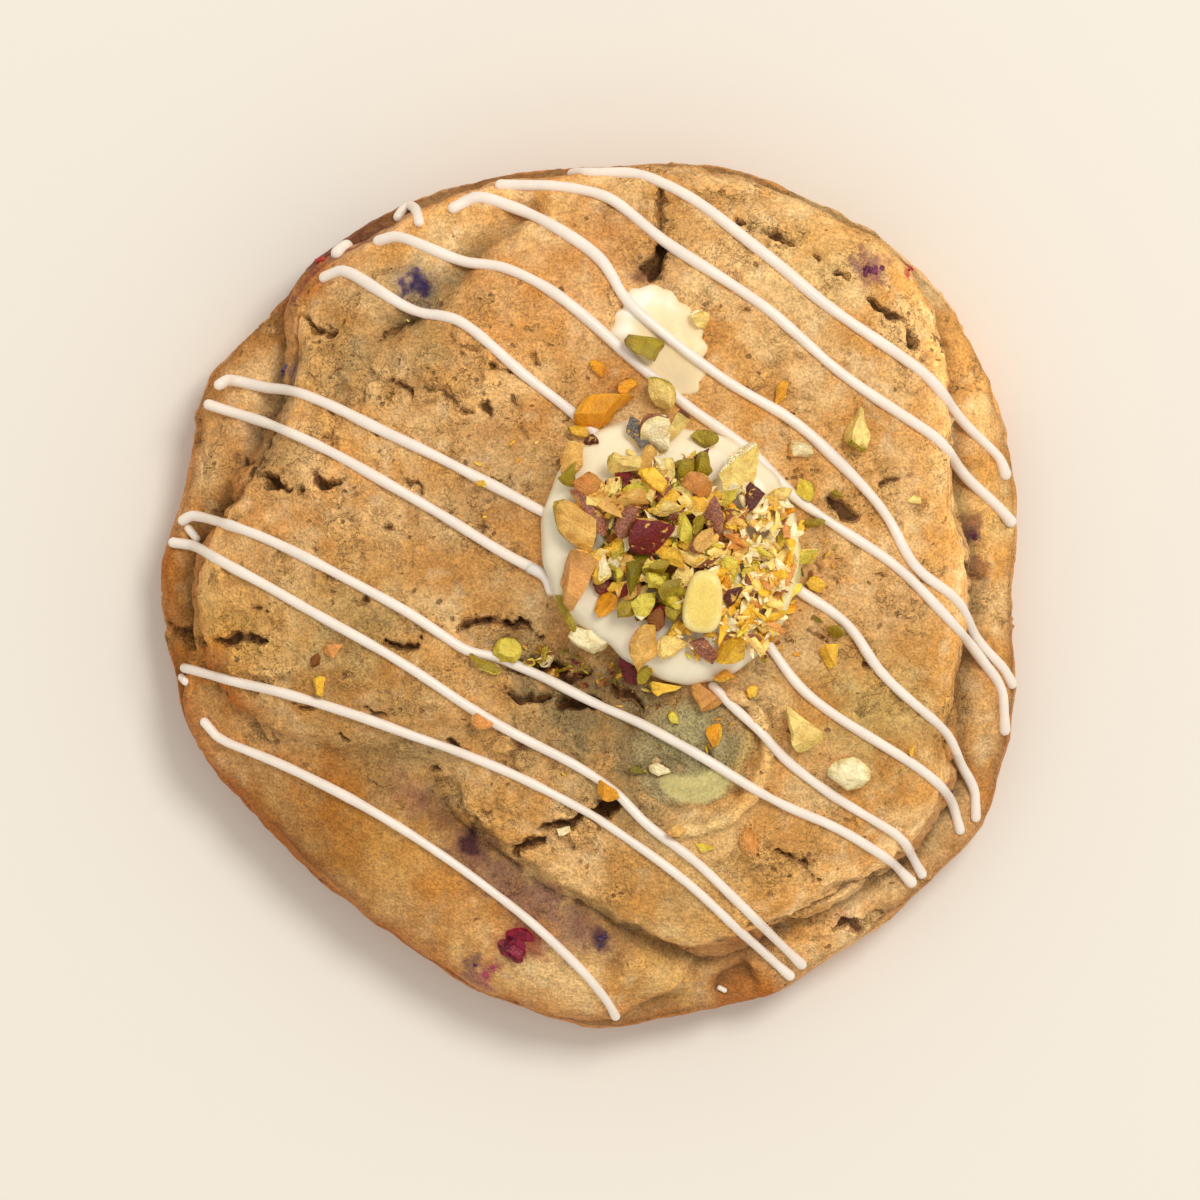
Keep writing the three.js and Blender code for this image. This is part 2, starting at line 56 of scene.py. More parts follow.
BASE = dict(
    radii=[
        50.2, 52.0, 53.9, 55.2, 54.1, 53.4, 51.2, 51.4, 51.6, 49.8, 52.5, 50.3,
        51.0, 49.5, 47.9, 46.7, 46.6, 48.4, 51.2, 50.3, 51.4, 52.4, 53.0, 52.1,
    ],
    floor=0.0, foot=0.95, widest=6.5, rise=8.5, fullness=6,
)
UPPER = dict(
    radii=[
        46.4, 45.8, 49.2, 54.2, 53.2, 52.5, 50.4, 50.4, 50.0, 49.2, 44.4, 46.0,
        48.4, 45.0, 38.0, 30.5, 31.6, 34.0, 38.0, 44.4, 46.2, 48.6, 49.4, 46.0,
    ],
    floor=3.0, foot=0.9, widest=15.0, rise=10.0, fullness=3,
)
LOWER_LEFT = dict(
    radii=[
        34, 34, 34, 34, 34, 34, 34, 34, 34, 34, 34, 42,
        47.5, 48.9, 47.4, 46.2, 46.1, 47.8, 50.4, 47, 44, 38, 38, 38,
    ],
    floor=3.0, foot=0.9, widest=9.0, rise=12.0, fullness=3,
)
LOBES = [BASE, UPPER, LOWER_LEFT]

# Bulges and hollows of the top: x, y, radius, height.
BULGES = [
    (-3, 36, 12, 1.2), (-23, 37, 9, 1.0), (25, -20, 16, 0.8),
    (12, -19, 10, 1.0), (-7, -9, 8, -2.6), (8, 41, 4, -2.0),
]

# Cracks and tears of the crust: line, width, depth.
CRACKS = [
    ([(-20.6, 34.0), (-23.6, 31.8), (-26.8, 29.8)], 0.7, 0.7),
    ([(8.3, 42.2), (7.7, 40), (6.9, 37.4)], 2.1, 2.4), ([(8, 50), (8.4, 46.6), (8.2, 43)], 1.0, 1.1),
    ([(-16.6, -5.4), (-13.6, -3), (-8.8, -3.6), (-5.8, -5.4)], 1.6, 2.0),
    ([(-10.8, -11.6), (-8, -12.6), (-5.2, -12.2)], 1.7, 2.0),
    ([(-4.6, -13.0), (-1.6, -12.4), (1.4, -13.2)], 2.0, 2.2),
    ([(-9.4, -8.8), (-6, -8.6), (-2.6, -9.8), (0.6, -9.4)], 1.7, 1.5),
    ([(2.0, -10.8), (4.4, -12.0), (5.6, -14.2)], 1.4, 1.4),
    ([(-9.5, -30.6), (-7.4, -29.6), (-5.6, -28.2)], 1.3, 1.3),
    ([(-6.4, -27.4), (-3.4, -27.2), (-0.6, -26.4)], 1.6, 1.7),
    ([(-0.4, -26.8), (1.6, -25.8), (3.2, -24.2)], 1.7, 2.4),
    ([(-40.2, 15.0), (-38.4, 13.4), (-36.0, 12.8)], 1.7, 2.0),
    ([(-33.4, 14.2), (-31.4, 13.4), (-29.2, 13.4)], 1.3, 1.8),
    ([(-35.2, 13.6), (-34.2, 12.4)], 0.9, 1.0),
    ([(-22.8, 14.0), (-21.2, 12.6), (-19.8, 11.4)], 1.0, 1.2),
    ([(-42.4, 17.0), (-41.2, 15.8), (-41.8, 14.4)], 0.9, 1.0),
    ([(-25.6, -5.4), (-23, -6.6), (-20.8, -6.4), (-19.4, -4.8)], 1.2, 1.4),
    ([(17, 45.2), (18.8, 44.6)], 0.9, 1.0),
    ([(20, 44), (22.6, 43), (24.6, 41.6)], 1.2, 1.3),
    ([(26, 41), (27.4, 40.2)], 1.0, 1.1),
    ([(28.6, 38.6), (31, 37.4)], 1.0, 1.1),
    ([(33.4, 35.4), (35.6, 34), (37, 32)], 1.2, 1.4),
    ([(37.2, 31.4), (38.6, 30)], 1.3, 1.5),
    ([(40.2, 30.6), (43.2, 29.4)], 1.0, 1.0),
    ([(-24, 25.8), (-21.6, 23.8)], 0.9, 1.0),
    ([(-19.8, 25.2), (-17.4, 23.8), (-15.2, 22.2)], 0.9, 1.1),
    ([(-13.6, 24.2), (-12.2, 22.4), (-11, 20.8)], 0.9, 1.0),
    ([(-20.8, 28), (-18.4, 26.6)], 0.7, 0.8),
    ([(-12.6, 28), (-10.8, 26.8)], 0.7, 0.8),
    ([(-35, 33.4), (-33.4, 31.4), (-31.2, 31.8), (-30, 33.4)], 1.2, 1.3),
    ([(28, 11.8), (29.6, 10.2), (32.6, 9.2)], 1.1, 1.2),
    ([(33.4, 13), (35.4, 13.4), (37.8, 13.8)], 0.7, 0.8),
    ([(25.8, 4), (28, 2.8), (29.4, 0.6)], 0.6, 0.8),
    ([(-46, -6), (-42.4, -5.4), (-38.4, -5.6)], 1.3, 1.4),
    ([(21, -30.6), (24.8, -31.8), (27, -34)], 1.2, 1.2),
    ([(-29.2, -1.2), (-26.2, 0)], 0.7, 0.7),
    ([(-16.6, 31.2), (-14.8, 28.2)], 0.7, 0.8),
    ([(-7.4, 28.6), (-5.4, 26.4)], 0.7, 0.7),
    ([(24.6, -3.4), (28.4, -5.4)], 0.7, 0.7),
    ([(32, -7.6), (34.4, -9.2)], 0.7, 0.7),
    ([(-20.4, -19.6), (-17.6, -20.8)], 0.8, 0.8),
    ([(-18, -16.4), (-15.2, -18.6)], 0.7, 0.7),
    ([(-28, -13), (-24.4, -14.6)], 0.7, 0.7),
    ([(-37, -12.6), (-33.4, -13.8)], 0.6, 0.6),
    ([(26.6, -40.8), (31, -39.6), (34.6, -38.2)], 0.9, 1.0),
    ([(44.6, 5), (46, 3), (47.6, 1.6)], 0.9, 1.0),
    ([(-51.4, -3), (-48.6, -5.2), (-46.6, -6.6)], 1.6, 1.4),
]
# Short, fine slits of the crust: from, to.
SLITS = [
    ((-22.8, 24.5), (-21.4, 23.3)), ((-20.8, 24.0), (-17.8, 22.6)), ((-16.0, 22.4), (-13.2, 21.0)),
    ((-9.8, 24.2), (-8.6, 22.6)), ((-8.6, 20.3), (-7.5, 18.5)), ((-11.6, 27.6), (-7.6, 25.6)),
    ((-15.8, 30.0), (-13.2, 29.4)), ((-33.4, 5.3), (-31.8, 4.3)), ((-27.8, 5.5), (-26.8, 4.3)),
    ((-24.9, 8.5), (-22.8, 7.3)), ((-18.6, 17.0), (-16.4, 15.6)), ((-26.6, 20.2), (-24.8, 19.0)),
    ((-30.6, 9.6), (-28.4, 8.6)), ((-14.0, 8.2), (-12.4, 7.0)), ((17.6, 34.8), (19.2, 33.8)),
    ((23.8, 29.4), (25.0, 28.2)), ((29.6, 29.0), (30.8, 28.2)), ((27.8, 17.0), (28.6, 15.4)),
    ((33.6, 3.0), (35.4, 2.4)), ((-30.2, -16.6), (-28.0, -17.6)), ((-40.6, -1.6), (-38.8, -2.6)),
    ((20.0, -34.6), (21.6, -35.4)), ((30.8, -26.6), (32.4, -27.8)), ((-2.0, -31.6), (0.2, -32.6)),
]
CRACKS += [([start, end], 0.62, 0.6) for start, end in SLITS]

# Where one lobe is pressed against the next, the crust turns down in a long crease: line, width, depth.
FOLDS = [
    (
        [
            (-19.6, -18.6), (-18.7, -22.8), (-15.7, -27.6), (-11.2, -31), (-5.8, -35.2), (-0.4, -37.6),
            (5.6, -41.2), (11.6, -43.2), (17.6, -42.4), (24.8, -39), (33.2, -34.8), (37.4, -32.8),
            (41, -28.2), (44.3, -21.6), (42.8, -18), (44.6, -11.4), (46.2, -3), (45.8, 6), (44.3, 11.4),
            (43.1, 21), (42.4, 25),
        ],
        0.7, 0.5,
    ),
    (
        [
            (-35.2, 33.4), (-36.6, 28.2), (-37.8, 23.4), (-39, 19.8), (-42.4, 13.8), (-44.8, 11.4),
            (-47.5, 6.6), (-48.5, 0), (-48.4, -6.6),
        ],
        0.8, 0.8,
    ),
]
# Slow ridges and grooves of the crust: line, width, height.
SWELLS = [
    ([(-5, 48.5), (-12, 43.8), (-16.5, 38.6), (-21, 34), (-26, 30.4)], 1.8, -2.0),
    ([(-24, 31.6), (-29, 26.6), (-31.4, 21.5)], 1.9, -0.8),
    (FOLDS[1][0], 1.7, -1.1),
    (FOLDS[0][0], 1.8, -1.3),
    ([(-29.4, 32), (-28.6, 28), (-29.6, 24.4)], 1.7, 0.8),
    ([(-33.2, 29.4), (-34.8, 24), (-36.8, 18.6)], 1.5, 0.6),
    ([(-38, 10.6), (-41.6, 7.2), (-44.2, 2.6), (-45, -2)], 2.2, 0.7),
    (
        [
            (-15.4, -19.4), (-15, -23.6), (-12.6, -27), (-8.2, -30.8), (-3, -34.2), (2.6, -37.2),
            (8.4, -39.6), (14.6, -39.6), (22, -36.6), (30, -32.6),
        ],
        2.4, 1.0,
    ),
    ([(3, -43.4), (7.4, -45), (12.4, -46.6)], 2.2, 1.1),
    ([(40.4, 24), (41, 14), (42.8, 6), (42.6, -2), (41.2, -10), (40, -17)], 2.2, 0.6),
    ([(-10, 46), (-14, 43.4), (-18.6, 41.6)], 2.4, 0.5),
    ([(-44, 14), (-47, 9)], 1.8, -0.5),
    ([(14.6, -48.2), (16.8, -46.4), (19.6, -45.0)], 1.3, -1.7),
]
# Where the low rim stands further out: angle, width in degrees, amount.
RIM = [
    (131, 8, 1.9), (200, 9, 1.5), (252, 9, 0.6), (290, 9, 1.0), (330, 8, 0.9), (175, 8, 0.6), (10, 8, 0.4),
]
# Baked-on lips of dough that stand proud: line, width, height.
LIPS = [
    (
        [
            (14.6, -11.0), (18.0, -12.6), (20.3, -15.6), (20.8, -19.2), (19.4, -22.8), (17.4, -25.8),
            (14.4, -27.4), (11, -28), (8, -27.4),
        ],
        1.5, 1.3,
    ),
    ([(-12, -10.2), (-6, -10.4), (-1, -9.6)], 1.6, 0.6),
]


def radius_at(radii, angle):
    """An outline's radius at an angle, on a smooth closed curve through its evenly spaced radii."""
    radii = np.asarray(radii, float)
    count = len(radii)
    place = np.mod(np.asarray(angle) / TURN * count, count)
    at = np.floor(place).astype(int)
    t = place - at
    a, b, c, d = (radii[(at + k) % count] for k in (-1, 0, 1, 2))
    return b + 0.5 * t * (c - a + t * (2 * a - 5 * b + 4 * c - d + t * (3 * (b - c) + d - a)))


def swell(x, y):
    """The slow swell of the top, with its bulges and hollows."""
    height = 0.45 * np.sin(x / 7 + 1.3) * np.cos(y / 9 - 0.7) + 0.3 * np.sin((x + y) / 5.2)
    for cx, cy, radius, rise in BULGES:
        height = height + rise * np.exp(-2 * ((x - cx) ** 2 + (y - cy) ** 2) / radius**2)
    return height


def dome_height(lobe, part, x, y):
    """Height of a lobe's top at a part of its radius."""
    dome = np.sqrt(np.maximum(0, 1 - part ** lobe["fullness"]))
    return lobe["widest"] + (lobe["rise"] + swell(x, y)) * dome


# ---------- noise, drawn from whole-number cells so that each run is the same ----------


def cell_random(cells, seed):
    """A number from 0 to 1 for each cell."""
    n = cells[..., 0] * 73856093 ^ cells[..., 1] * 19349663 ^ cells[..., 2] * 83492791
    n = (n ^ seed * 265443576) & 0xFFFFFFFF
    n = ((n ^ n >> 15) * 2246822519) & 0xFFFFFFFF
    n = ((n ^ n >> 13) * 3266489917) & 0xFFFFFFFF
    return ((n ^ n >> 16) & 0xFFFFFF) / 0xFFFFFF


def noise(points, size, seed):
    """Smooth noise from -1 to 1, in lumps of a size in millimetres."""
    place = points / size + seed * 17.31
    cell = np.floor(place).astype(np.int64)
    t = place - cell
    t = t * t * t * (t * (t * 6 - 15) + 10)
    total = np.zeros(len(points))
    for corner in itertools.product((0, 1), repeat=3):
        weight = np.prod(np.where(corner, t, 1 - t), axis=1)
        total += weight * cell_random(cell + np.array(corner), seed)
    return total * 2 - 1


def noise_vectors(points, size, seed):
    """Noise in each of three directions."""
    return np.stack([noise(points, size, seed + k) for k in range(3)], 1)


def rough(points, size, seed, octaves=3):
    """Noise with finer and weaker noise on it."""
    layers = [noise(points, size / 2**k, seed + k) / 2**k for k in range(octaves)]
    return sum(layers) / 1.75


def scatter_distances(points, size, seed):
    """Distances to the nearest two of scattered points, as parts of their spacing, and its number."""
    place = points / size
    cell = np.floor(place).astype(np.int64)
    near = np.full(len(points), 9.0)
    second = np.full(len(points), 9.0)
    number = np.zeros(len(points))
    for shift in itertools.product((-1, 0, 1), repeat=3):
        other = cell + np.array(shift)
        spot = other + np.stack([cell_random(other, seed + k) for k in range(3)], axis=1)
        away = np.linalg.norm(place - spot, axis=1)
        closer = away < near
        second = np.where(closer, near, np.minimum(second, away))
        number = np.where(closer, cell_random(other, seed + 9), number)
        near = np.where(closer, away, near)
    return near, second, number


def smooth_step(low, high, value):
    t = np.clip((value - low) / (high - low), 0, 1)
    return t * t * (3 - 2 * t)


# ---------- meshes ----------


def add_object(name, data):
    made = bpy.data.objects.new(name, data)
    bpy.context.scene.collection.objects.link(made)
    return made


def make_object(name, points, faces, material):
    """A mesh object from points in millimetres."""
    mesh = bpy.data.meshes.new(name)
    mesh.from_pydata(((np.asarray(points) - DRAWN_MIDDLE) * MM).tolist(), [], faces)
    mesh.validate()
    mesh.polygons.foreach_set("use_smooth", [True] * len(mesh.polygons))
    mesh.materials.append(material)
    return add_object(name, mesh)


def with_modifiers(made):
    """A new mesh of an object as its modifiers make it."""
    bpy.context.view_layer.update()
    graph = bpy.context.evaluated_depsgraph_get()
    return bpy.data.meshes.new_from_object(made.evaluated_get(graph))


def give_value(mesh, name, values):
    """Writes a number for each point of a mesh."""
    attribute = mesh.attributes.new(name, "FLOAT", "POINT")
    attribute.data.foreach_set("value", values.astype(np.float32))


def give_tone(mesh, name, tone):
    """Writes a colour for each point of a mesh."""
    attribute = mesh.attributes.new(name, "FLOAT_COLOR", "POINT")
    rows = np.column_stack([tone, np.ones(len(tone))])
    attribute.data.foreach_set("color", rows.astype(np.float32).ravel())


def angles_round(columns):
    """Evenly spaced angles, once round."""
    return np.arange(columns) / columns * TURN


def ring_at(x, y, z):
    """Points from their coordinates, any of which may be one number for all."""
    return np.stack(np.broadcast_arrays(x, y, z), 1)


def loft(rings, first, last):
    """A closed skin over rings of points, with a fan to one point at each end."""
    sides = len(rings[0])
    count = len(rings)
    points = np.vstack([[first], np.vstack(rings), [last]])
    faces = []
    for side in range(sides):
        beside = (side + 1) % sides
        top = 1 + (count - 1) * sides
        faces.append((0, 1 + beside, 1 + side))
        faces.append((top + side, top + beside, len(points) - 1))
        for ring in range(count - 1):
            low = 1 + ring * sides
            faces.append((low + side, low + beside, low + sides + beside, low + sides + side))
    return points, faces


def joined(parts):
    """One set of points and faces from several."""
    points, faces, start = [], [], 0
    for part_points, part_faces in parts:
        points.append(part_points)
        faces += [tuple(corner + start for corner in face) for face in part_faces]
        start += len(part_points)
    return np.vstack(points), faces


def mesh_arrays(mesh):
    """A mesh's points and normals."""
    points = np.empty(len(mesh.vertices) * 3)
    mesh.vertices.foreach_get("co", points)
    normals = np.empty(len(mesh.vertices) * 3, np.float32)
    mesh.vertex_normals.foreach_get("vector", normals)
    return points.reshape(-1, 3), normals.reshape(-1, 3).astype(float)


def line_through(points, step):
    """Evenly spaced points on a smooth curve through points."""
    points = np.asarray(points, float)
    padded = np.vstack([2 * points[0] - points[1], points, 2 * points[-1] - points[-2]])
    curve = []
    for a, b, c, d in zip(padded, padded[1:], padded[2:], padded[3:]):
        for t in np.linspace(0, 1, 12, endpoint=False):
            bend = 2 * a - 5 * b + 4 * c - d + t * (3 * (b - c) + d - a)
            curve.append(b + 0.5 * t * (c - a + t * bend))
    curve = np.array(curve + [points[-1]])
    run = np.concatenate([[0], np.cumsum(np.linalg.norm(np.diff(curve, axis=0), axis=1))])
    places = np.linspace(0, run[-1], max(2, round(run[-1] / step) + 1))
    return np.stack([np.interp(places, run, curve[:, k]) for k in range(points.shape[1])], axis=1)


# ---------- materials ----------

NOISE = "ShaderNodeTexNoise"
MATH = "ShaderNodeMath"
VECTOR = "ShaderNodeVectorMath"
SPAN = "ShaderNodeMapRange"
MIX = "ShaderNodeMix"
ATTRIBUTE = "ShaderNodeAttribute"


def linear(code):
    """An sRGB hex colour as linear values, with an alpha of 1."""
    values = [int(code[k : k + 2], 16) / 255 for k in (1, 3, 5)]
    return [v / 12.92 if v <= 0.04045 else ((v + 0.055) / 1.055) ** 2.4 for v in values] + [1.0]


def node(tree, kind, inputs=(), out=0, **settings):
    """Adds a node with its settings, and gives one of its outputs. Inputs are values or sockets to
    link, by name or number, or in the node's own order: a span's is the value, the low and high
    that it is measured between, and what these become."""
    made = tree.nodes.new(kind)
    for name, value in settings.items():
        setattr(made, name, value)
    for name, value in inputs.items() if isinstance(inputs, dict) else enumerate(inputs):
        if isinstance(value, bpy.types.NodeSocket):
            tree.links.new(value, made.inputs[name])
        else:
            made.inputs[name].default_value = value
    return made.outputs[out] if len(made.outputs) else None


def new_material(name):
    """An empty material, what adds its nodes, and the point on the piece in millimetres."""
    material = bpy.data.materials.new(name)
    material.use_nodes = True
    material.node_tree.nodes.clear()
    add = functools.partial(node, material.node_tree)
    place = add("ShaderNodeTexCoord", out="Object")
    return material, add, add(VECTOR, {0: place, "Scale": 1 / MM}, operation="SCALE")


def shaded(add, tone, grain, least, most):
    """A colour made darker and lighter by a noise."""
    shade = add(SPAN, [grain, 0.3, 0.7, least, most])
    return add(VECTOR, {0: tone, "Scale": shade}, operation="SCALE")


def surface(add, tone, height, relief, roughness, ior, softness=None, strength=1.0):
    """A finish's last step. A height of 1 stands up by the relief, in millimetres. Softness is how
    much light goes under the surface, how far for red, green and blue, and its scale in millimetres."""
    bump = add("ShaderNodeBump", {"Height": height, "Strength": strength, "Distance": relief * MM})
    sockets = {"Base Color": tone, "Roughness": roughness, "IOR": ior, "Normal": bump}
    if softness:
        weight, reach, scale = softness
        sockets["Subsurface Weight"] = weight
        sockets["Subsurface Radius"] = reach
        sockets["Subsurface Scale"] = scale * MM
    add("ShaderNodeOutputMaterial", {"Surface": add("ShaderNodeBsdfPrincipled", sockets)})


def baked_dough():
    """Baked cookie dough: a matt, sandy crust, torn open here and there in short slits and pits, with
    painted shade darkening the slits, pits and cracks. The attributes say its slow colour, with painted
    light and shade in it, where it is cracked open and where it is torn."""
    material, add, place = new_material("baked_cookie_dough")
    tone = add(ATTRIBUTE, attribute_name="tone")
    cracked = add(ATTRIBUTE, out="Fac", attribute_name="crack")
    torn = add(ATTRIBUTE, out="Fac", attribute_name="torn")
    grain = add(NOISE, {"Vector": place, "Scale": 1 / 0.3, "Detail": 2.0})
    sand = add(NOISE, {"Vector": place, "Scale": 1 / 0.9, "Detail": 3.0})
    ragged = add(NOISE, {"Vector": place, "Scale": 1 / 1.3, "Detail": 4.0})

    # slits: short stretches of the lines where a slow noise crosses its middle
    turn, squeeze = (0, 0, 0.6), (0.75, 1.4, 1)
    askew = add("ShaderNodeMapping", {"Vector": place, "Rotation": turn, "Scale": squeeze})
    wave = add(NOISE, {"Vector": askew, "Scale": 1 / 2.4, "Detail": 3.0, "Distortion": 0.5})
    off_middle = add(MATH, [wave, 0.5], operation="SUBTRACT")
    off_middle = add(MATH, [off_middle], operation="ABSOLUTE")
    line = add(SPAN, [off_middle, 0.02, 0.06, 1.0, 0.0])
    stretch = add(NOISE, {"Vector": askew, "Scale": 1 / 1.5, "Detail": 2.0})
    fewest = add(SPAN, [torn, 0.0, 1.0, 0.745, 0.645])
    stretch = add(MATH, [stretch, fewest], operation="SUBTRACT")
    stretch = add(SPAN, [stretch, 0.0, 0.03])
    slits = add(MATH, [line, stretch], operation="MULTIPLY")

    # pits: the middles of a few ragged cells
    wander = add(NOISE, {"Vector": place, "Scale": 1 / 0.8, "Detail": 2.0}, "Color")
    wander = add(VECTOR, {0: wander, "Scale": 1.1}, operation="SCALE")
    bent = add(VECTOR, [place, wander], operation="ADD")
    cells = add("ShaderNodeTexVoronoi", {"Vector": bent, "Scale": 1 / 1.6}, "Distance")
    which = add("ShaderNodeSeparateColor", [cells.node.outputs["Color"]])
    which = add(MATH, [torn, 0.3, which], operation="MULTIPLY_ADD")
    which = add(SPAN, [which, 0.95, 0.97])
    middle = add(SPAN, [cells, 0.12, 0.22, 1.0, 0.0])
    pits = add(MATH, [middle, which], operation="MULTIPLY")
    holes = add(MATH, [slits, pits], operation="MAXIMUM")

    # cracks: ragged about the line that the shape has
    uneven = add(MATH, [ragged, 1.5, cracked], operation="MULTIPLY_ADD")
    crack = add(SPAN, [uneven, 1.03, 1.1])
    deepest = add(SPAN, [uneven, 1.28, 1.42])

    # ledges: the crust stops at ragged edges, one step above the next, most of all where it is torn
    layers = add(NOISE, {"Vector": bent, "Scale": 1 / 3.4, "Detail": 5.0, "Roughness": 0.62})
    upper = add(SPAN, [layers, 0.53, 0.55])
    lower = add(SPAN, [layers, 0.44, 0.46])
    steps = add(MATH, [upper, lower], operation="ADD")
    step_height = add(SPAN, [torn, 0.0, 1.0, 0.05, 0.3])
    ledges = add(MATH, [steps, step_height], operation="MULTIPLY")

    tone = shaded(add, shaded(add, tone, sand, 0.8, 1.09), grain, 0.72, 1.3)
    # the slits, pits and cracks are mixed towards deep browns: painted shade down in the openings
    painted_shade_in_openings = ((holes, 0.7, "#6f4219"), (crack, 0.6, "#95602a"), (deepest, 0.75, "#4a290a"))
    for opening, share, code in painted_shade_in_openings:
        share = add(MATH, [opening, share], operation="MULTIPLY")
        tone = add(MIX, {0: share, 6: tone, 7: linear(code)}, 2, data_type="RGBA")
    height = ledges
    for part, rise in ((sand, 0.3), (grain, 0.17), (holes, -0.28), (crack, -0.3)):
        height = add(MATH, [part, rise, height], operation="MULTIPLY_ADD")
    surface(add, tone, height, 1.0, 0.82, 1.4)
    return material


def white_chocolate(name, roughness, colour=None):
    """White chocolate, melted and set: creamy and a little translucent, with a soft satin sheen.
    Without a colour, it reads the piece's own, in the attribute "tint", which on the button holds painted
    highlight and painted reflection too."""
    material, add, place = new_material(name)
    if colour:
        tone = add("ShaderNodeRGB")
        tone.default_value = linear(colour)
    else:
        tone = add(ATTRIBUTE, attribute_name="tint")
    cloud = add(NOISE, {"Vector": place, "Scale": 1 / 3.5, "Detail": 2.0})
    fine = add(NOISE, {"Vector": place, "Scale": 1 / 0.9, "Detail": 2.0})
    tone = shaded(add, tone, cloud, 0.95, 1.04)
    surface(add, tone, fine, 0.05, roughness, 1.46, (0.3, (1.0, 0.8, 0.55), 0.7))
    return material


def chopped_kernel(name, roughness, relief, mottled):
    """Roasted pistachio, chopped: waxy flesh, greener and darker close under its papery skin.
    The attributes say the flesh's colour, the skin's, with where it covers, and the place within
    the kernel, 1 from its middle at the skin."""
    material, add, place = new_material(name)
    tint = add(ATTRIBUTE, attribute_name="tint")
    skin = add(ATTRIBUTE, attribute_name="skin")
    within = add(ATTRIBUTE, out="Vector", attribute_name="within")
    outward = add(VECTOR, [within], "Value", operation="LENGTH")
    blotch = add(NOISE, {"Vector": place, "Scale": 1 / 1.3, "Detail": 4.0})
    fleck = add(NOISE, {"Vector": place, "Scale": 1 / 0.25, "Detail": 2.0})
    ragged = add(MATH, [blotch, 0.4, outward], operation="MULTIPLY_ADD")
    rim = add(SPAN, [ragged, 0.9, 1.25, 0.0, 0.75])
    under_skin = add(VECTOR, [tint, (0.66, 0.66, 0.3)], operation="MULTIPLY")
    tone = add(MIX, {0: rim, 6: tint, 7: under_skin}, 2, data_type="RGBA")
    roasted = add(SPAN, [blotch, 0.45, 0.75, 0.0, mottled])
    browner = add(VECTOR, [tone, (0.72, 0.52, 0.32)], operation="MULTIPLY")
    tone = add(MIX, {0: roasted, 6: tone, 7: browner}, 2, data_type="RGBA")
    worn = add(SPAN, [fleck, 0.35, 0.65, 0.62, 1.5])
    skin_tone = add(VECTOR, {0: skin, "Scale": worn}, operation="SCALE")
    kept = add(SPAN, [blotch, 0.34, 0.38])
    kept = add(MATH, [kept, skin.node.outputs["Alpha"]], operation="MULTIPLY")
    tone = add(MIX, {0: kept, 6: tone, 7: skin_tone}, 2, data_type="RGBA")
    tone = shaded(add, tone, fleck, 1 - 0.3 * mottled, 1.1)
    height = add(MATH, [blotch, fleck], operation="ADD")
    surface(add, tone, height, relief, roughness, 1.47, (0.12, (1.0, 0.8, 0.3), 0.5))
    return material


def green_chocolate():
    """Pistachio chocolate pressed in before baking: smooth and pale olive where it lies bare, and
    dusty with baked-on crumb elsewhere. Its colour, with painted shade in its hollows, and where it is bare
    are attributes."""
    material, add, place = new_material("pistachio_chocolate")
    tone = add(ATTRIBUTE, attribute_name="tone")
    bare = add(ATTRIBUTE, out="Fac", attribute_name="bare")
    sand = add(NOISE, {"Vector": place, "Scale": 1 / 0.32, "Detail": 3.0})
    tone = shaded(add, tone, sand, add(SPAN, [bare, 0.0, 1.0, 0.5, 0.86]), 1.25)
    depth = add(SPAN, [bare, 0.0, 1.0, 0.42, 0.06])
    height = add(MATH, [sand, depth], operation="MULTIPLY")
    surface(add, tone, height, 1.0, 0.62, 1.44)
    return material


def berry_flesh():
    """Freeze-dried berry baked in the dough: deep, glossy where it has melted, stained from within."""
    material, add, place = new_material("baked_berry")
    cloud = add(NOISE, {"Vector": place, "Scale": 1 / 0.7, "Detail": 3.0})
    tone = shaded(add, add(ATTRIBUTE, attribute_name="tint"), cloud, 0.55, 1.5)
    surface(add, tone, cloud, 0.3, 0.38, 1.4, (0.3, (1.0, 0.2, 0.2), 0.6))
    return material


# ---------- the dough ----------

CHUNK = dict(x=7.9, y=30.4, radii=[5.0, 4.8, 5.4, 6.6, 6.6, 6.0, 5.4, 4.4, 4.2, 4.6, 6.2, 6.6])
WAFER = dict(x=11.4, y=-18.8, radii=[8.4, 8.2, 7.3, 6.8, 7.2, 8.1, 8.6, 8.2, 7.4, 7.0, 7.3, 8.1])
BUTTON_BOTTOM = 21.5
BUTTON_TOP = 29.4
BUTTON = dict(
    x=9.4, y=4.8,
    radii=[15.5, 15.3, 15.2, 15.6, 16.9, 16.4, 15.6, 14.6, 13.3, 15.0, 15.8, 15.4],
)

# Torn, crumbly patches of the crust: x, y, radius.
TORN = [
    (8, 42, 6), (-38, 14, 5), (-2, -27.5, 6), (-26, 24, 7), (36, 32, 6), (22, 43, 7), (-7, -9, 9),
    (21, -32, 6), (-14, 24, 5), (33, 11, 6), (-42, -6, 5), (20, -16, 5), (-33, 18, 6),
    (-31, 30, 6), (43, -14, 5), (-10, -19, 5),
]
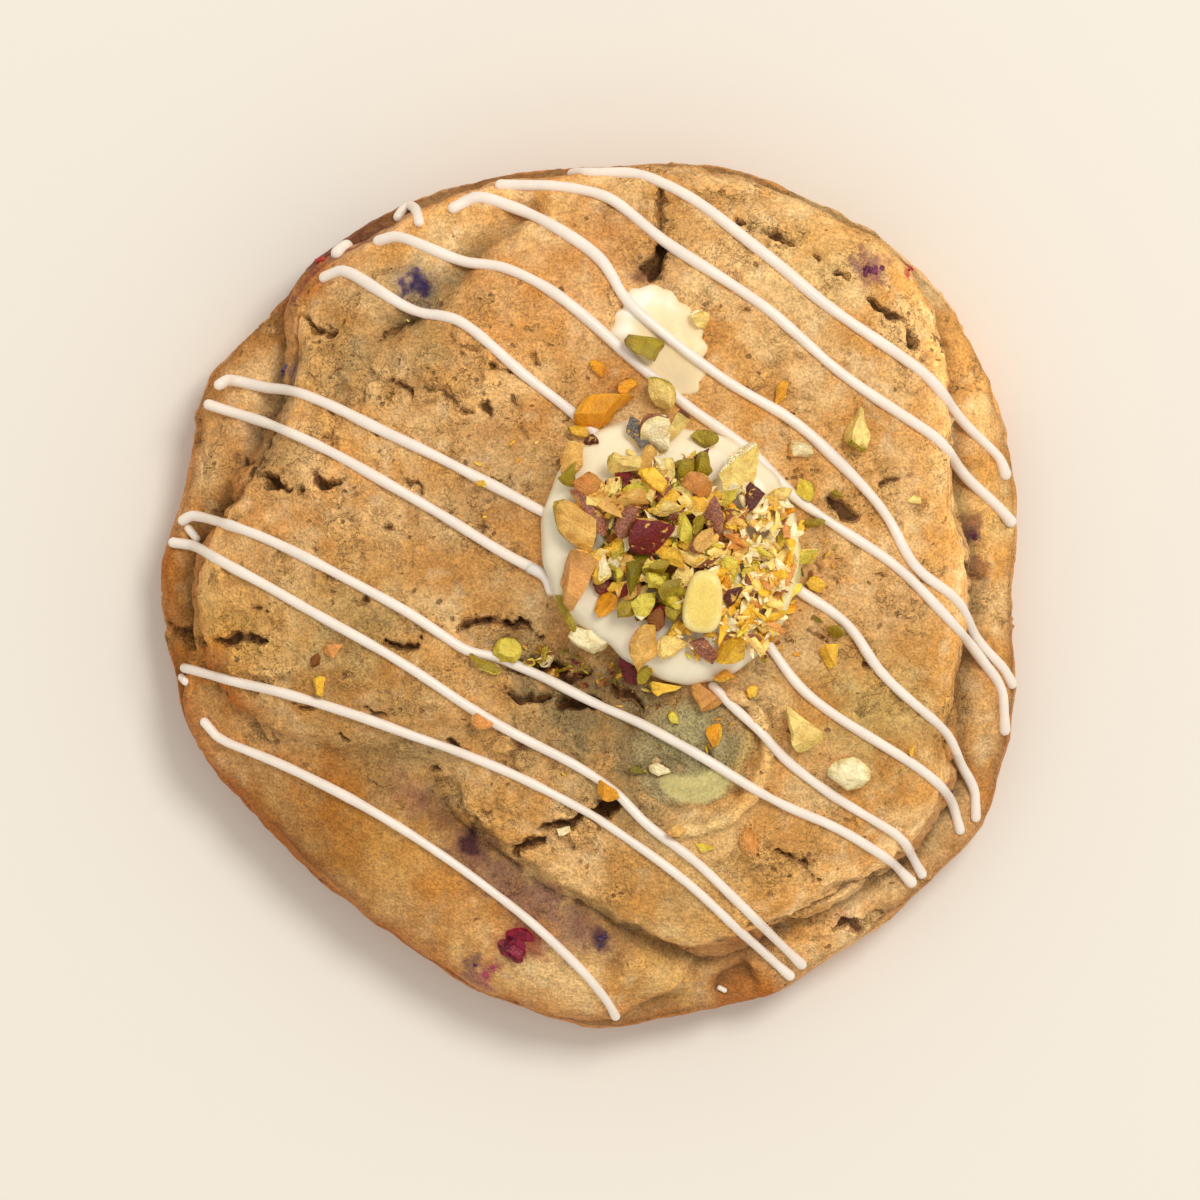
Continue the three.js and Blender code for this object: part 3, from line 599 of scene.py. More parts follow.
# Places that browned more, less where negative; the negative ones, on the right, are painted light on the
# side towards the lamp: x, y, radius, amount.
BROWNING_AND_PAINTED_LIGHT = [
    (-3, 36, 8, 0.45), (2, 43, 4, 0.25), (-14, 34, 5, 0.2), (44, 4, 7, 0.1), (-45, -3, 8, 0.45),
    (-42, 16, 6, 0.35), (8, 40, 4, 0.5), (18, -45.5, 4, 0.6), (-40, -14, 9, 0.35), (-32, -26, 9, 0.65),
    (-17, -38, 9, 0.5), (-22, 0, 8, 0.1), (-28, 10, 6, 0.2), (32, 24, 12, -0.15), (20, 46, 12, -0.3),
    (-33, 36, 6, 0.3), (4, -37, 8, 0.3), (-24, 24, 6, 0.1), (30, -4, 9, 0.1), (30, -42, 8, -0.5),
    (48, 12, 8, -0.2), (13.8, 30.4, 2.2, 0.6), (34, 42, 12, -0.4), (46, 28, 9, -0.35), (50, 2, 8, -0.25),
    (-2, -48, 9, 0.1), (-14, 12, 8, 0.15),
]
# Where the crust is more golden: x, y, radius, amount.
GOLDEN = [
    (-45, -4, 8, 0.3), (-28, -5, 7, 0.2), (-32, -26, 9, 0.3), (-22, -31, 8, 0.14), (-15, -38, 8, 0.1),
    (5, -41, 8, 0.12), (33, -14, 8, 0.28), (27, 40, 6, 0.12), (48, 10, 6, 0.16), (15, -33, 6, 0.08),
]
# Slow painted light and shade of the crust, darker where positive and lighter where negative: x, y, radius,
# amount.
PAINTED_SHADING = [
    (33, -15, 7, 0.34), (-18, 7, 8, 0.12), (-28, -5, 7, 0.36), (-10, -2, 6, 0.2), (16, -36, 8, 0.05),
    (47, 22, 6, -0.2), (49, -2, 6, -0.15), (44, 31, 6, -0.55), (38, 38, 5, -0.2), (47.5, 24, 5, -0.25),
    (22, 30, 6, 0.06), (-39, 2, 6, 0.1), (5, -41, 6, 0.08), (-2, 38, 8, -0.12), (47, 8, 8, -0.18),
    (-13, 30, 7, -0.14), (-30, 18, 6, -0.12), (15, 44, 6, -0.08), (30, -41, 6, -0.25),
    (-1.6, -29, 5, -0.15), (-1.6, -49, 5, -0.12), (-47, 15, 5, -0.1), (-36, -28, 10, 0.16),
    (38, -34, 5, -0.1), (-24, -20, 8, 0.12), (22, 4, 6, 0.1), (8, -46, 6, 0.08),
]
# Hollows darkened with painted shade: x, y, radius, amount.
SHADED_HOLLOWS = [
    (-3, -10.4, 4.0, 0.28), (2.5, -8.6, 4.0, 0.36), (-9.5, -5.4, 3.0, 0.3), (-1, -14, 4.5, 0.35),
    (-4, 0.5, 3.5, 0.2), (7.2, 38.6, 2.2, 0.5), (-9, -18.4, 3, 0.15), (5.5, -12.4, 5, 0.3),
]
# Where the dough is greener: x, y, radius, amount.
OLIVE = [
    (9, -16, 9, 0.75), (-1, -15.5, 7, 0.7), (-6, -11, 7, 0.5), (4, -26, 6, 0.4),
    (-18, 33.5, 4.5, 0.3), (-22, 37, 4, 0.45), (-30, 32, 6, 0.25), (-20, 29, 5, 0.4),
    (-7.5, 14, 5, 0.45), (-35, 26, 3, 0.5),
    (-38, 17, 3.5, 0.45), (22, -9, 5, 0.4), (20, 1, 4, 0.3), (6, 22, 4, 0.3), (-21, -19, 7, 0.4),
    (8, 43, 4, 0.2), (-34, -12, 4, 0.3), (24, 8, 5, 0.3), (13, -38, 7, 0.2),
]
# Bands of colour along the folds: line, width, colour, strength. The darker ones, in the folds, grooves and
# the deep crack, are painted shade, the pale ones on the ridges by the long fold are painted light, and the
# one by the wafer is its golden lip.
SHADE_AND_LIGHT_BANDS = [
    (
        [
            (-20.6, -20.6), (-20, -25), (-16.4, -30), (-11.6, -33.4), (-6, -37.4), (-1, -39.8),
            (3.6, -42.2),
        ],
        2.2, "#6d4334", 0.62,
    ),
    ([(-12.4, 44.2), (-17, 39), (-21.4, 34.6), (-26, 31)], 1.2, "#927e52", 0.5),
    ([(-26, 31), (-29.8, 26.4), (-31.4, 22)], 1.4, "#a8956a", 0.45),
    ([(14.6, -48.2), (16.8, -46.4), (19.6, -45.0)], 1.4, "#cf8a45", 0.65),
    (
        [
            (18.0, -12.6), (20.3, -15.6), (20.8, -19.2), (19.4, -22.8), (17.4, -25.8), (14.4, -27.4),
            (11, -28), (8, -27.4),
        ],
        1.1, "#e8c07c", 0.7,
    ),
    ([(-36.8, 27), (-38.6, 20.6), (-42, 14.6)], 1.4, "#8a6f45", 0.4),
    ([(-12, -29), (-6, -33.2), (1, -37), (8, -40.4)], 1.6, "#e0a95c", 0.35),
    ([(3, -43.4), (7.4, -45), (12.4, -46.6)], 2.2, "#f0c076", 0.55),
    ([(8.2, 42), (7.2, 38.4)], 1.2, "#5a3a1c", 0.5),
]
# Berry juice baked into the crust, low on the rim and on the top, and, on the top, painted shade in
# purple-brown blots along the long fold: x, y, radius, colour, strength.
LOW_STAINS = [
    (-34.6, 38.6, 3.4, "#7c3a30", 0.8), (-31.6, 41.2, 3.2, "#7c3a30", 0.8),
    (-28.4, 43.6, 3.0, "#84442f", 0.75), (-24.6, 45.4, 2.8, "#95562f", 0.6),
    (-36.6, 36.0, 2.2, "#86463a", 0.6),
]
STAINS_AND_FOLD_SHADE = [
    # the purple-brown blots along the long fold's lower side are painted shade under it
    (-11.5, -33.5, 3.2, "#7a5046", 0.6), (-14.6, -30.6, 2.6, "#6f4640", 0.6),
    (-7.6, -37, 3.4, "#83584a", 0.55), (-2.6, -40, 3.4, "#8a6052", 0.5),
    (3, -42.4, 3.0, "#8e6450", 0.4), (-17.4, -25.6, 2.2, "#80583e", 0.45),
    (-23.6, -23.4, 2.8, "#a06a52", 0.35), (-14.8, -29.8, 0.9, "#3f1520", 0.9),
    (45.6, 8.2, 1.6, "#7a3038", 0.6), (46.6, 3.4, 1.2, "#7a3038", 0.5),
    (6.6, 38.6, 1.4, "#43202c", 0.7), (-21.5, 37.4, 3.0, "#93806c", 0.5),
    (-21.3, 37.3, 1.3, "#2f1c4a", 0.95), (-20.3, 36.4, 0.8, "#33204c", 0.95),
    (-22.2, 36.6, 0.6, "#3b2550", 0.9), (-20.9, 38.6, 0.6, "#4a3560", 0.9),
    (-22.8, 37.8, 0.5, "#4a3560", 0.8), (0.8, -41.2, 1.4, "#4a2038", 0.85),
    (-8.6, -42, 2.6, "#8a1a2c", 0.7), (-12.4, -45, 1.4, "#a05060", 0.6),
    (-14.2, -44.4, 1.0, "#5b2a4a", 0.6), (33, 39, 2.2, "#7a3a52", 0.7), (38, 39, 0.7, "#b02a30", 0.8),
    (45.8, 6.6, 1.3, "#5a2a40", 0.7), (-37, 27, 1.2, "#5a4068", 0.6),
    (-33.4, 39.6, 1.8, "#b04a3a", 0.7), (42.5, -23.4, 1.1, "#6a3a5a", 0.6),
    (-8.4, -17.6, 0.9, "#6a1a1a", 0.6), (-4.6, -35.6, 1.6, "#8a5060", 0.35),
    (-22, -24, 2.0, "#9a5a50", 0.3), (30, -39, 1.2, "#9a4a50", 0.3),
]


def plain(code, points):
    """One colour for each point."""
    return np.tile(linear(code)[:3], (len(points), 1))


def tinted(tone, code, amount):
    """Colours moved towards another one, by an amount for each."""
    amount = np.clip(amount, 0, 1)[:, None]
    return tone * (1 - amount) + np.array(linear(code)[:3]) * amount


def stained(tone, points, plan, upward):
    """Colours with the berries' juice soaked in, and painted shade in blots beside the long fold, ragged at
    their edges.
    """
    blot = 0.45 * rough(points, 1.6, 331) + 0.3 * noise(points, 0.6, 335)
    for places, shown in ((STAINS_AND_FOLD_SHADE, upward), (LOW_STAINS, points[:, 2] < 14.5)):
        for x, y, radius, code, strength in places:
            away = np.hypot(plan[:, 0] - x, plan[:, 1] - y) / radius
            tone = tinted(tone, code, strength * smooth_step(1.35, 0.5, away + blot) * shown)
    return tone


def stands_proud(points, shown, size):
    """How far points of the top stand above the mean height within a distance."""
    half, step = 60, 0.5  # of a grid over the dough
    cells = np.floor((points[:, :2] + half) / step).astype(int)
    across = round(2 * half / step)
    heights = np.zeros((across, across))
    np.maximum.at(heights, (cells[shown, 0], cells[shown, 1]), points[shown, 2])
    known = (heights > 0).astype(float)
    reach = np.arange(-round(2.5 * size / step), round(2.5 * size / step) + 1) * step
    weights = np.exp(-((reach / size) ** 2))

    def spread(grid):
        for axis in (0, 1):
            grid = np.apply_along_axis(np.convolve, axis, grid, weights, "same")
        return grid

    around = spread(heights) / np.maximum(spread(known), 1e-6)
    return np.where(shown, points[:, 2] - around[cells[:, 0], cells[:, 1]], 0)


def crust_tone(points, plan, upward, low, torn, painted_hollow_shade, painted_light_and_shade):
    """The crust's slow colour: golden, with paler and toasted patches, painted shade in its hollows, folds
    and grooves, and painted light on what stands proud and on the right.
    """
    tone = plain("#d99b50", points)
    tone = tinted(tone, "#edc081", smooth_step(-0.42, 0.5, rough(points, 5.5, 301)))
    tone = tinted(tone, "#c5853f", 0.5 * smooth_step(0.0, 0.6, rough(points, 2.6, 311)))
    tone = tinted(tone, "#f4dcae", 0.3 * smooth_step(0.1, 0.6, rough(points, 1.7, 321, 2)))
    # browning, lowered on the right as painted light
    toasted = spots(plan, BROWNING_AND_PAINTED_LIGHT) + low + 0.3 * rough(points, 8.0, 53) - 0.04
    tone = tinted(tone, "#b8630d", np.minimum(toasted, 0.9))
    tone = tinted(tone, "#d8a45e", 0.5 * torn)
    greened = spots(plan, OLIVE) * (0.75 + 0.8 * rough(points, 3.0, 57))
    tone = tinted(tone, "#957e52", np.minimum(greened, 0.85))
    for line, width, code, strength in SHADE_AND_LIGHT_BANDS:
        share = strength * soft_line(plan, line, width) * (0.85 + 0.6 * rough(points, 2.2, 59))
        tone = tinted(tone, code, share * upward)
    tone = stained(tone, points, plan, upward)
    tone[:, 2] *= 1 - spots(plan, GOLDEN)
    # painted shade in the hollows, then the listed painted light and shade with a slow random tone
    shade = 1 - 0.64 * np.clip(painted_hollow_shade, 0, 1)
    shade = shade * (1 - spots(plan, PAINTED_SHADING) - 0.1 * rough(points, 11.0, 111, 2))
    return tone * (shade * painted_light_and_shade)[:, None]


def lobe_skin(lobe, columns=300, rows=70):
    """A lobe's closed skin, from its underside to its crown."""
    angles = angles_round(columns)
    radii = radius_at(lobe["radii"], angles)
    rings = []
    for slope in np.linspace(math.pi / 2, 0, 16, endpoint=False):
        part = lobe["foot"] + (1 - lobe["foot"]) * math.cos(slope)
        z = lobe["widest"] - (lobe["widest"] - lobe["floor"]) * math.sin(slope)
        rings.append(ring_at(radii * part * np.cos(angles), radii * part * np.sin(angles), z))
    for row in range(rows):
        part = 1 - (row / rows) ** 1.5
        x = radii * part * np.cos(angles)
        y = radii * part * np.sin(angles)
        rings.append(ring_at(x, y, dome_height(lobe, part, x, y)))
    crown = dome_height(lobe, 0.0, 0.0, 0.0)
    return loft(rings, (0, 0, lobe["floor"]), (0, 0, crown))


def remeshed(name, points, faces):
    """The outside of overlapping skins as one even mesh, in millimetres."""
    mesh = bpy.data.meshes.new(name)
    mesh.from_pydata(points.tolist(), [], faces)
    overlapping = add_object(name, mesh)
    modifier = overlapping.modifiers.new("even", "REMESH")
    modifier.mode = "VOXEL"
    modifier.voxel_size = VOXEL
    even = with_modifiers(overlapping)
    bpy.data.objects.remove(overlapping)
    return even


def near_line(points, line):
    """Distance from a line in plan, and how far along it, for points."""
    best = np.full(len(points), 99.0)
    where = np.zeros(len(points))
    for k, (a, b) in enumerate(zip(line, line[1:])):
        run = b - a
        t = np.clip((points - a) @ run / (run @ run), 0, 1)
        away = np.linalg.norm(points - (a + t[:, None] * run), axis=1)
        closer = away < best
        best = np.where(closer, away, best)
        where = np.where(closer, (k + t) / (len(line) - 1), where)
    return best, where


def spots(points, places):
    """The sum of soft round spots in plan."""
    total = np.zeros(len(points))
    for x, y, radius, amount in places:
        away = (points[:, 0] - x) ** 2 + (points[:, 1] - y) ** 2
        total += amount * np.exp(-away / radius**2)
    return total


def part_of(piece, points):
    """How far out a point lies in plan, as a part of a piece's own outline."""
    x, y = points[:, 0] - piece["x"], points[:, 1] - piece["y"]
    return np.hypot(x, y) / radius_at(piece["radii"], np.arctan2(y, x))


def opened(points, plan, routes, ends):
    """How deep the crust is opened along lines, and how near each point is to the middle of one."""
    sink = np.zeros(len(points))
    near = np.full(len(points), -1.0)
    for line, width, depth in routes:
        route = line_through(line, 1.0)
        low, high = route.min(0) - 5, route.max(0) + 5
        chosen = np.flatnonzero(np.all((plan > low) & (plan < high), axis=1) & (points[:, 2] > 3))
        away, along = near_line(plan[chosen], route)
        half = width / 2 * np.sin(np.clip(along, 0.01, 0.99) * math.pi) ** ends
        half *= 0.9 + 0.5 * noise(points[chosen], 2.2, 71) + 0.35 * noise(points[chosen], 0.9, 72)
        half = np.maximum(half, 0.05)
        wall = smooth_step(half * 1.2, half * 0.5, away)
        wall = wall * smooth_step(-0.75, -0.1, noise(points[chosen], 1.7, 73))
        sink[chosen] = np.maximum(sink[chosen], depth * wall)
        nearness = (1 - away / (half + 0.22)) * smooth_step(0.12, 0.4, half)
        near[chosen] = np.maximum(near[chosen], nearness)
    return sink, near


def soft_line(plan, line, width):
    """A soft ridge along a line in plan, 1 at its middle."""
    route = line_through(line, 1.0)
    away, along = near_line(plan, route)
    ends = smooth_step(0, 0.12, along) * smooth_step(1, 0.88, along)
    return np.exp(-((away / width) ** 2)) * ends


def make_dough():
    """The dough, with its crust's relief and the facts that its finish reads."""
    even = remeshed("dough", *joined([lobe_skin(lobe) for lobe in LOBES]))
    points, normals = mesh_arrays(even)
    top = smooth_step(2.0, 9.0, points[:, 2])
    under = smooth_step(-0.6, -0.95, normals[:, 2])
    jitter = np.stack(
        [noise(points, 2.1, 50 + k) * 0.7 + noise(points, 0.85, 60 + k) * 0.4 for k in (0, 1)], 1
    )
    plan = points[:, :2] + jitter

    sink, crack = opened(points, plan, CRACKS, 0.7)
    fold_sink, fold = opened(points, points[:, :2] + jitter * 0.18, FOLDS, 0.15)
    bent = points[:, :2] + 0.4 * jitter
    swelled = sum(height * soft_line(bent, line, width) for line, width, height in SWELLS)
    swelled = swelled * smooth_step(5, 9, points[:, 2])
    lip = 0
    for line, width, height in LIPS:
        uneven = 1 + 0.5 * noise(points, 2.6, 45) + 0.25 * noise(points, 0.9, 46)
        lip = lip + height * smooth_step(0.3, 0.62, soft_line(points[:, :2], line, width * 0.62) * uneven)

    torn = np.clip(spots(points, [(x, y, r * 0.75, 1.0) for x, y, r in TORN]), 0, 1)
    torn = np.maximum(torn, 0.7 * smooth_step(-0.5, 0.2, crack))
    torn = smooth_step(0.4, 0.95, torn + 0.6 * rough(points, 3.2, 81))
    warp = noise_vectors(points, 1.1, 90)
    near, second, number = scatter_distances(points + 0.4 * warp, 1.5, 5)
    crumbs = (second - near) - 0.25
    pits = smooth_step(0.36, 0.1, near) * (number > 0.78)
    ledge = rough(points + 0.6 * warp, 4.6, 101, 4)
    relief = 0.4 * rough(points, 9.0, 21) + 0.2 * rough(points, 3.2, 25) + 0.08 * noise(points, 1.3, 29)
    relief += 0.25 * np.abs(noise(points, 4.2, 26)) + 0.12 * np.abs(noise(points, 2.0, 27)) - 0.1
    relief += torn * (0.2 * crumbs * (0.4 + 0.6 * number) + 0.75 * smooth_step(-0.02, 0.06, ledge) - 0.4)
    relief -= 0.3 * pits * (0.3 + 0.7 * torn)
    flank = (1 - smooth_step(0.25, 0.75, normals[:, 2])) * (1 - under)
    flaked = crumbs * smooth_step(-0.1, 0.5, rough(points, 6, 41))
    relief += flank * (0.45 * rough(points, 4.0, 37) + 0.3 * flaked)
    relief += lip * (0.85 + 0.3 * noise(points, 1.6, 44)) + swelled
    south_west = np.clip(-(points[:, 0] * 0.35 + points[:, 1] * 0.94) / 50, 0, 1)
    outward = 0.3 + 0.5 * south_west
    around = np.degrees(np.arctan2(points[:, 1], points[:, 0]))
    for angle, width, amount in RIM:
        off = (around - angle + 180) % 360 - 180
        outward = outward + amount * np.exp(-((off / width) ** 2))
    outward = outward * flank * smooth_step(1.5, 5.5, points[:, 2]) * smooth_step(17, 12, points[:, 2])
    sink = np.maximum(sink, fold_sink)
    bed = np.zeros(len(points))
    for piece, depth in ((CHUNK, 1.0), (WAFER, 0.55)):
        part = part_of(piece, points) + 0.06 * noise(points, 1.5, 43)
        bed = np.maximum(bed, depth * smooth_step(1.04, 0.9, part) * (points[:, 2] > 12))
    sink = np.maximum(sink, bed)
    moved = points + normals * (relief * top * (1 - under) - sink + outward)[:, None]
    moved[:, 2] = np.maximum(moved[:, 2], 0)
    moved[:, 2] += under * 0.12 * (1 + rough(points, 2.0, 47)) * (points[:, 2] < 1)

    even.vertices.foreach_set("co", ((moved - DRAWN_MIDDLE) * MM).ravel())
    # painted shade: darker in the cracks, folds, pits and grooves, between crumbs and in the listed hollows
    painted_hollow_shade = smooth_step(0.15, 1.9, sink - bed) + 0.08 * torn * smooth_step(0.1, -0.35, crumbs) + 0.25 * pits
    painted_hollow_shade += spots(plan, SHADED_HOLLOWS) - 0.12 * np.minimum(swelled, 0)
    low = 0.4 * flank + 0.3 * smooth_step(13, 5, points[:, 2])
    # the folds' creases share the cracks' darkening and bump here: the darkening is painted shade in the
    # crease
    give_value(even, "crack", np.maximum(crack, fold - 0.5))
    give_value(even, "torn", torn)
    upward = smooth_step(0.05, 0.35, normals[:, 2])
    shown = normals[:, 2] > 0.3
    # painted light and shade: what stands above its surroundings is lighter, what lies below them darker
    near_by, far_by = stands_proud(moved, shown, 1.1), stands_proud(moved, shown, 3.2)
    painted_light_and_shade = np.clip(1 + 0.33 * near_by, 0.7, 1.2) * np.clip(1 + 0.1 * far_by, 0.76, 1.14)
    give_tone(even, "tone", crust_tone(points, plan, upward, low, torn, painted_hollow_shade, painted_light_and_shade))

    even.polygons.foreach_set("use_smooth", [True] * len(even.polygons))
    dough = add_object("dough", even)
    thin_below(dough)
    dough.data.materials.append(baked_dough())
    return dough


def thin_below(dough):
    """Fewer faces on the flat underside, so that the whole stays within its triangles."""
    triangles = 2 * len(dough.data.polygons)
    below = [v.index for v in dough.data.vertices if v.co.z < 0.6 * MM]
    group = dough.vertex_groups.new(name="below")
    group.add(below, 1.0, "REPLACE")
    modifier = dough.modifiers.new("thin", "DECIMATE")
    modifier.vertex_group = "below"
    modifier.ratio = min(1.0, DOUGH_TRIANGLES / triangles)
    thinned = with_modifiers(dough)
    dough.modifiers.clear()
    dough.vertex_groups.clear()
    dough.data = thinned


# ---------- what lies on what ----------


class Ground:
    """The shapes that later pieces lie on."""

    def __init__(self, objects):
        parts = []
        for made in objects:
            points, _ = mesh_arrays(made.data)
            parts.append((points / MM + DRAWN_MIDDLE, [face.vertices for face in made.data.polygons]))
        points, faces = joined(parts)
        self.tree = BVHTree.FromPolygons(points.tolist(), faces)

    def below(self, x, y):
        """Height and normal of the first surface under a point."""
        spot, normal, _, _ = self.tree.ray_cast(Vector((x, y, 80)), Vector((0, 0, -1)))
        return (spot.z, np.array(normal)) if spot else (0.0, np.array((0, 0, 1.0)))


# ---------- drizzle ----------

STRAND_RADIUS = 0.62
STRAND_LIFT = 0.3  # height of a strand's middle above what it lies on
STRAND_SIDES = 14
STRAND_STEP = 0.7
# Each strand's line over the top, and where an end hangs down the side: x, y, height.
STRANDS = [
    dict(
        start=(-2.5, 51.3, 12),
        line=[
            (5.6, 50.4), (11.9, 47.2), (21.8, 39.6), (28, 34.4), (39.2, 26.6), (43.4, 21.6), (48.6, 16.6),
        ],
        end=(50.4, 14.4, 9),
    ),
    dict(
        start=(-11.2, 49.8, 13),
        line=[
            (-4.4, 48.8), (2, 47.4), (7.4, 43), (20.6, 34.2), (29.6, 26.4), (41, 18.6), (43.6, 15.2),
            (48.4, 10.6),
        ],
        end=(50.9, 9, 9),
    ),
    dict(
        start=(-16.9, 47, 14),
        line=[
            (-13.6, 47.6), (-6.6, 45), (1, 40), (4.4, 34.6), (15.2, 26), (24.8, 20), (34.2, 10.6),
            (38.2, 3.5), (43.4, -0.6), (45.5, -4.8), (49, -8.6),
        ],
        end=(51.1, -10.8, 9),
    ),
    dict(
        start=(-26, 43, 14),
        line=[
            (-23.2, 42.8), (-14.8, 39.5), (-11, 39.2), (-3.2, 35), (10.4, 23.2), (18.2, 17.6),
            (25.4, 10.6), (36, 3.5), (43.9, -4.6), (49, -11),
        ],
        end=(50.2, -16.4, 9),
    ),
    dict(
        start=(-32.6, 38.6, 14),
        line=[(-29.6, 38.8), (-21, 33.7), (-15.7, 32.6), (-7.6, 25.7), (-2.6, 21.8), (-0.2, 19.6)],
    ),
    dict(
        line=[(24.4, 0.6), (30.6, -3.8), (34.7, -9.6), (42.1, -16.4), (43.6, -19.6), (45.8, -23)],
        end=(46.7, -27.1, 9),
    ),
    dict(
        start=(-45.5, 25.6, 13),
        line=[(-43.6, 25.8), (-38.2, 24.6), (-34.9, 24.2), (-20.8, 17.6), (-8.6, 11.3), (-5.6, 9.7)],
    ),
    dict(line=[(20.8, -5.9), (26.3, -12.6), (39.2, -20.9), (43, -24.6)], end=(44.9, -29.2, 9)),
    dict(
        start=(-46.8, 23.2, 12),
        line=[(-44, 22.2), (-35.2, 19), (-22, 11.9), (-10.6, 5), (-6.8, 3)],
    ),
    dict(
        line=[(15.4, -11.9), (20.3, -16.4), (22, -18.8), (28.2, -23.6), (36.8, -28.8)],
        end=(40.1, -34, 9),
    ),
    dict(
        start=(-50, 9.1, 10),
        line=[
            (-48, 9.6), (-38.2, 6.4), (-23.2, -1.4), (-14.5, -7), (-11.6, -7.3), (0.8, -13.1),
            (9, -16.9), (21.2, -24.2), (29, -27.7), (35.6, -31.6),
        ],
        end=(38.8, -35, 8),
    ),
    dict(
        start=(-51.2, 6.4, 9),
        line=[
            (-47.6, 5.9), (-35.2, -1), (-23.2, -7.8), (-13, -14.4), (0.8, -22), (6, -27),
            (12.8, -32.2), (22.2, -41.6),
        ],
        end=(25.9, -45.5, 7),
    ),
    dict(
        start=(-49.8, -8.9, 9),
        line=[
            (-47, -9.2), (-32.2, -13), (-14.2, -19.4), (-2.2, -25.1), (9.2, -32.6), (16.2, -38.8),
            (22.4, -44.6),
        ],
        end=(24.2, -46.6, 7),
    ),
    dict(
        start=(-47.3, -15.5, 9),
        line=[(-44.8, -17.2), (-35.2, -21.1), (-22.6, -28), (-9.4, -37.4), (-1.6, -44.5), (1.8, -48.6)],
        end=(2.9, -51.6, 8),
    ),
]
# Small drips beside the strands: line, radius.
DRIPS = [
    ([(-23.4, 45.4), (-22.6, 46.6), (-21.6, 46.8), (-20.9, 45.4), (-20.8, 44.6)], 0.62),
    ([(-30.6, 41.0), (-29.6, 41.8)], 0.85), ([(-48.6, 8.0), (-47.6, 6.8)], 0.5),
    ([(-49.4, -9.9), (-48.9, -10.4)], 0.5), ([(-7.4, 3.2), (-5.6, 2.2), (-5.0, 0.6)], 0.7),
    ([(15.2, -47.2), (15.8, -47.5)], 0.32),
]


def smoothed(values, passes):
    """Values along a line, evened out, with the ends kept."""
    values = values.copy()
    for _ in range(passes):
        values[1:-1] = (values[:-2] + 2 * values[1:-1] + values[2:]) / 4
    return values


def hanging(ground, near, end):
    """Points from where a strand leaves the top, over the rim and down to where it ends."""
    points = []
    end = np.array(end) * (0.985, 0.985, 1)
    for t in np.linspace(0, 1, 8)[1:]:
        x, y, z = np.array(near) + (end - near) * t
        height, _ = ground.below(x, y)
        points.append((x, y, max(height + STRAND_LIFT, z if height < 1 else end[2])))
    return points


def strand_route(ground, strand):
    """A strand's middle line, lying on the top and hanging over the rim, or run in under the button."""
    flat = line_through(strand["line"], 1.0)
    if "start" not in strand:
        flat = np.vstack([flat[0] + (flat[0] - flat[2]) * 0.8, flat])
    if "end" not in strand:
        flat = np.vstack([flat, flat[-1] + (flat[-1] - flat[-3]) * 0.8])
    found = [ground.below(x, y) for x, y in flat]
    heights = np.array([z for z, _ in found])
    evened = np.maximum(smoothed(heights, 6), heights - 0.2)
    normals = smoothed(np.array([n for _, n in found]), 6)
    normals /= np.linalg.norm(normals, axis=1)[:, None]
    route = np.column_stack([flat, smoothed(evened, 3)]) + normals * STRAND_LIFT
    if "start" in strand:
        route = np.vstack([hanging(ground, route[0], strand["start"])[::-1], route])
    if "end" in strand:
        route = np.vstack([route, hanging(ground, route[-1], strand["end"])])
    route = line_through(smoothed(route, 3)[::2], STRAND_STEP)
    for _ in range(3):
        least = np.array([ground.below(x, y)[0] for x, y, _ in route]) + 0.1
        route[:, 2] = np.maximum(route[:, 2], least)
        route[:, 2] = smoothed(route[:, 2], 2)
    return route


def tube(route, radii, sides):
    """A round tube along a route, with a rounded end at each end."""
    along = np.gradient(route, axis=0)
    along /= np.linalg.norm(along, axis=1)[:, None]
    angles = np.arange(sides) / sides * TURN
    up = np.array((0, 0, 1.0))
    rings = []
    for centre, radius, way in zip(route, radii, along):
        up = up - way * (up @ way)
        up /= np.linalg.norm(up)
        circle = np.cos(angles)[:, None] * np.cross(way, up) + np.sin(angles)[:, None] * up
        rings.append(centre + radius * circle)
    for sign, end, radius in ((-1, 0, radii[0]), (1, len(route) - 1, radii[-1])):
        circle = (rings[0] if sign < 0 else rings[-1]) - route[end]
        cap = []
        for slope in (25, 50, 72):
            turn = math.radians(slope)
            middle = route[end] + sign * along[end] * radius * math.sin(turn)
            cap.append(middle + circle * math.cos(turn))
        rings = cap[::-1] + rings if sign < 0 else rings + cap
    first = route[0] - along[0] * radii[0]
    last = route[-1] + along[-1] * radii[-1]
    points, faces = loft(rings, first, last)
    return points, [face[::-1] for face in faces]


def make_drizzle(ground):
    """Every strand of the drizzle, uneven in width and thicker where an end has run down."""
    parts = []
    for number, strand in enumerate(STRANDS):
        route = strand_route(ground, strand)
        uneven = 0.1 * noise(route + number * 31, 6.0, 3) + 0.07 * noise(route, 2.2, 4)
        radii = STRAND_RADIUS * (1 + uneven)
        radii = radii * (1 + 0.12 * route[:, 1] / 45)  # finer towards the bottom of the picture
        run = np.arange(len(route)) * STRAND_STEP
        if "end" in strand:
            radii = radii * (1 + 0.16 * np.exp(-((run[::-1] / 1.3) ** 2)))
        parts.append(tube(route, radii, STRAND_SIDES))
    for line, radius in DRIPS:
        route = line_through(line, 0.5)
        route = np.array([(x, y, max(ground.below(x, y)[0], 3.0) + radius * 0.5) for x, y in route])
        parts.append(tube(smoothed(route, 2), np.full(len(route), radius), STRAND_SIDES))
    points, faces = joined(parts)
    return make_object("drizzle", points, faces, white_chocolate("piped_white_chocolate", 0.34, "#f3e5d6"))


# ---------- button, chunk and wafer ----------


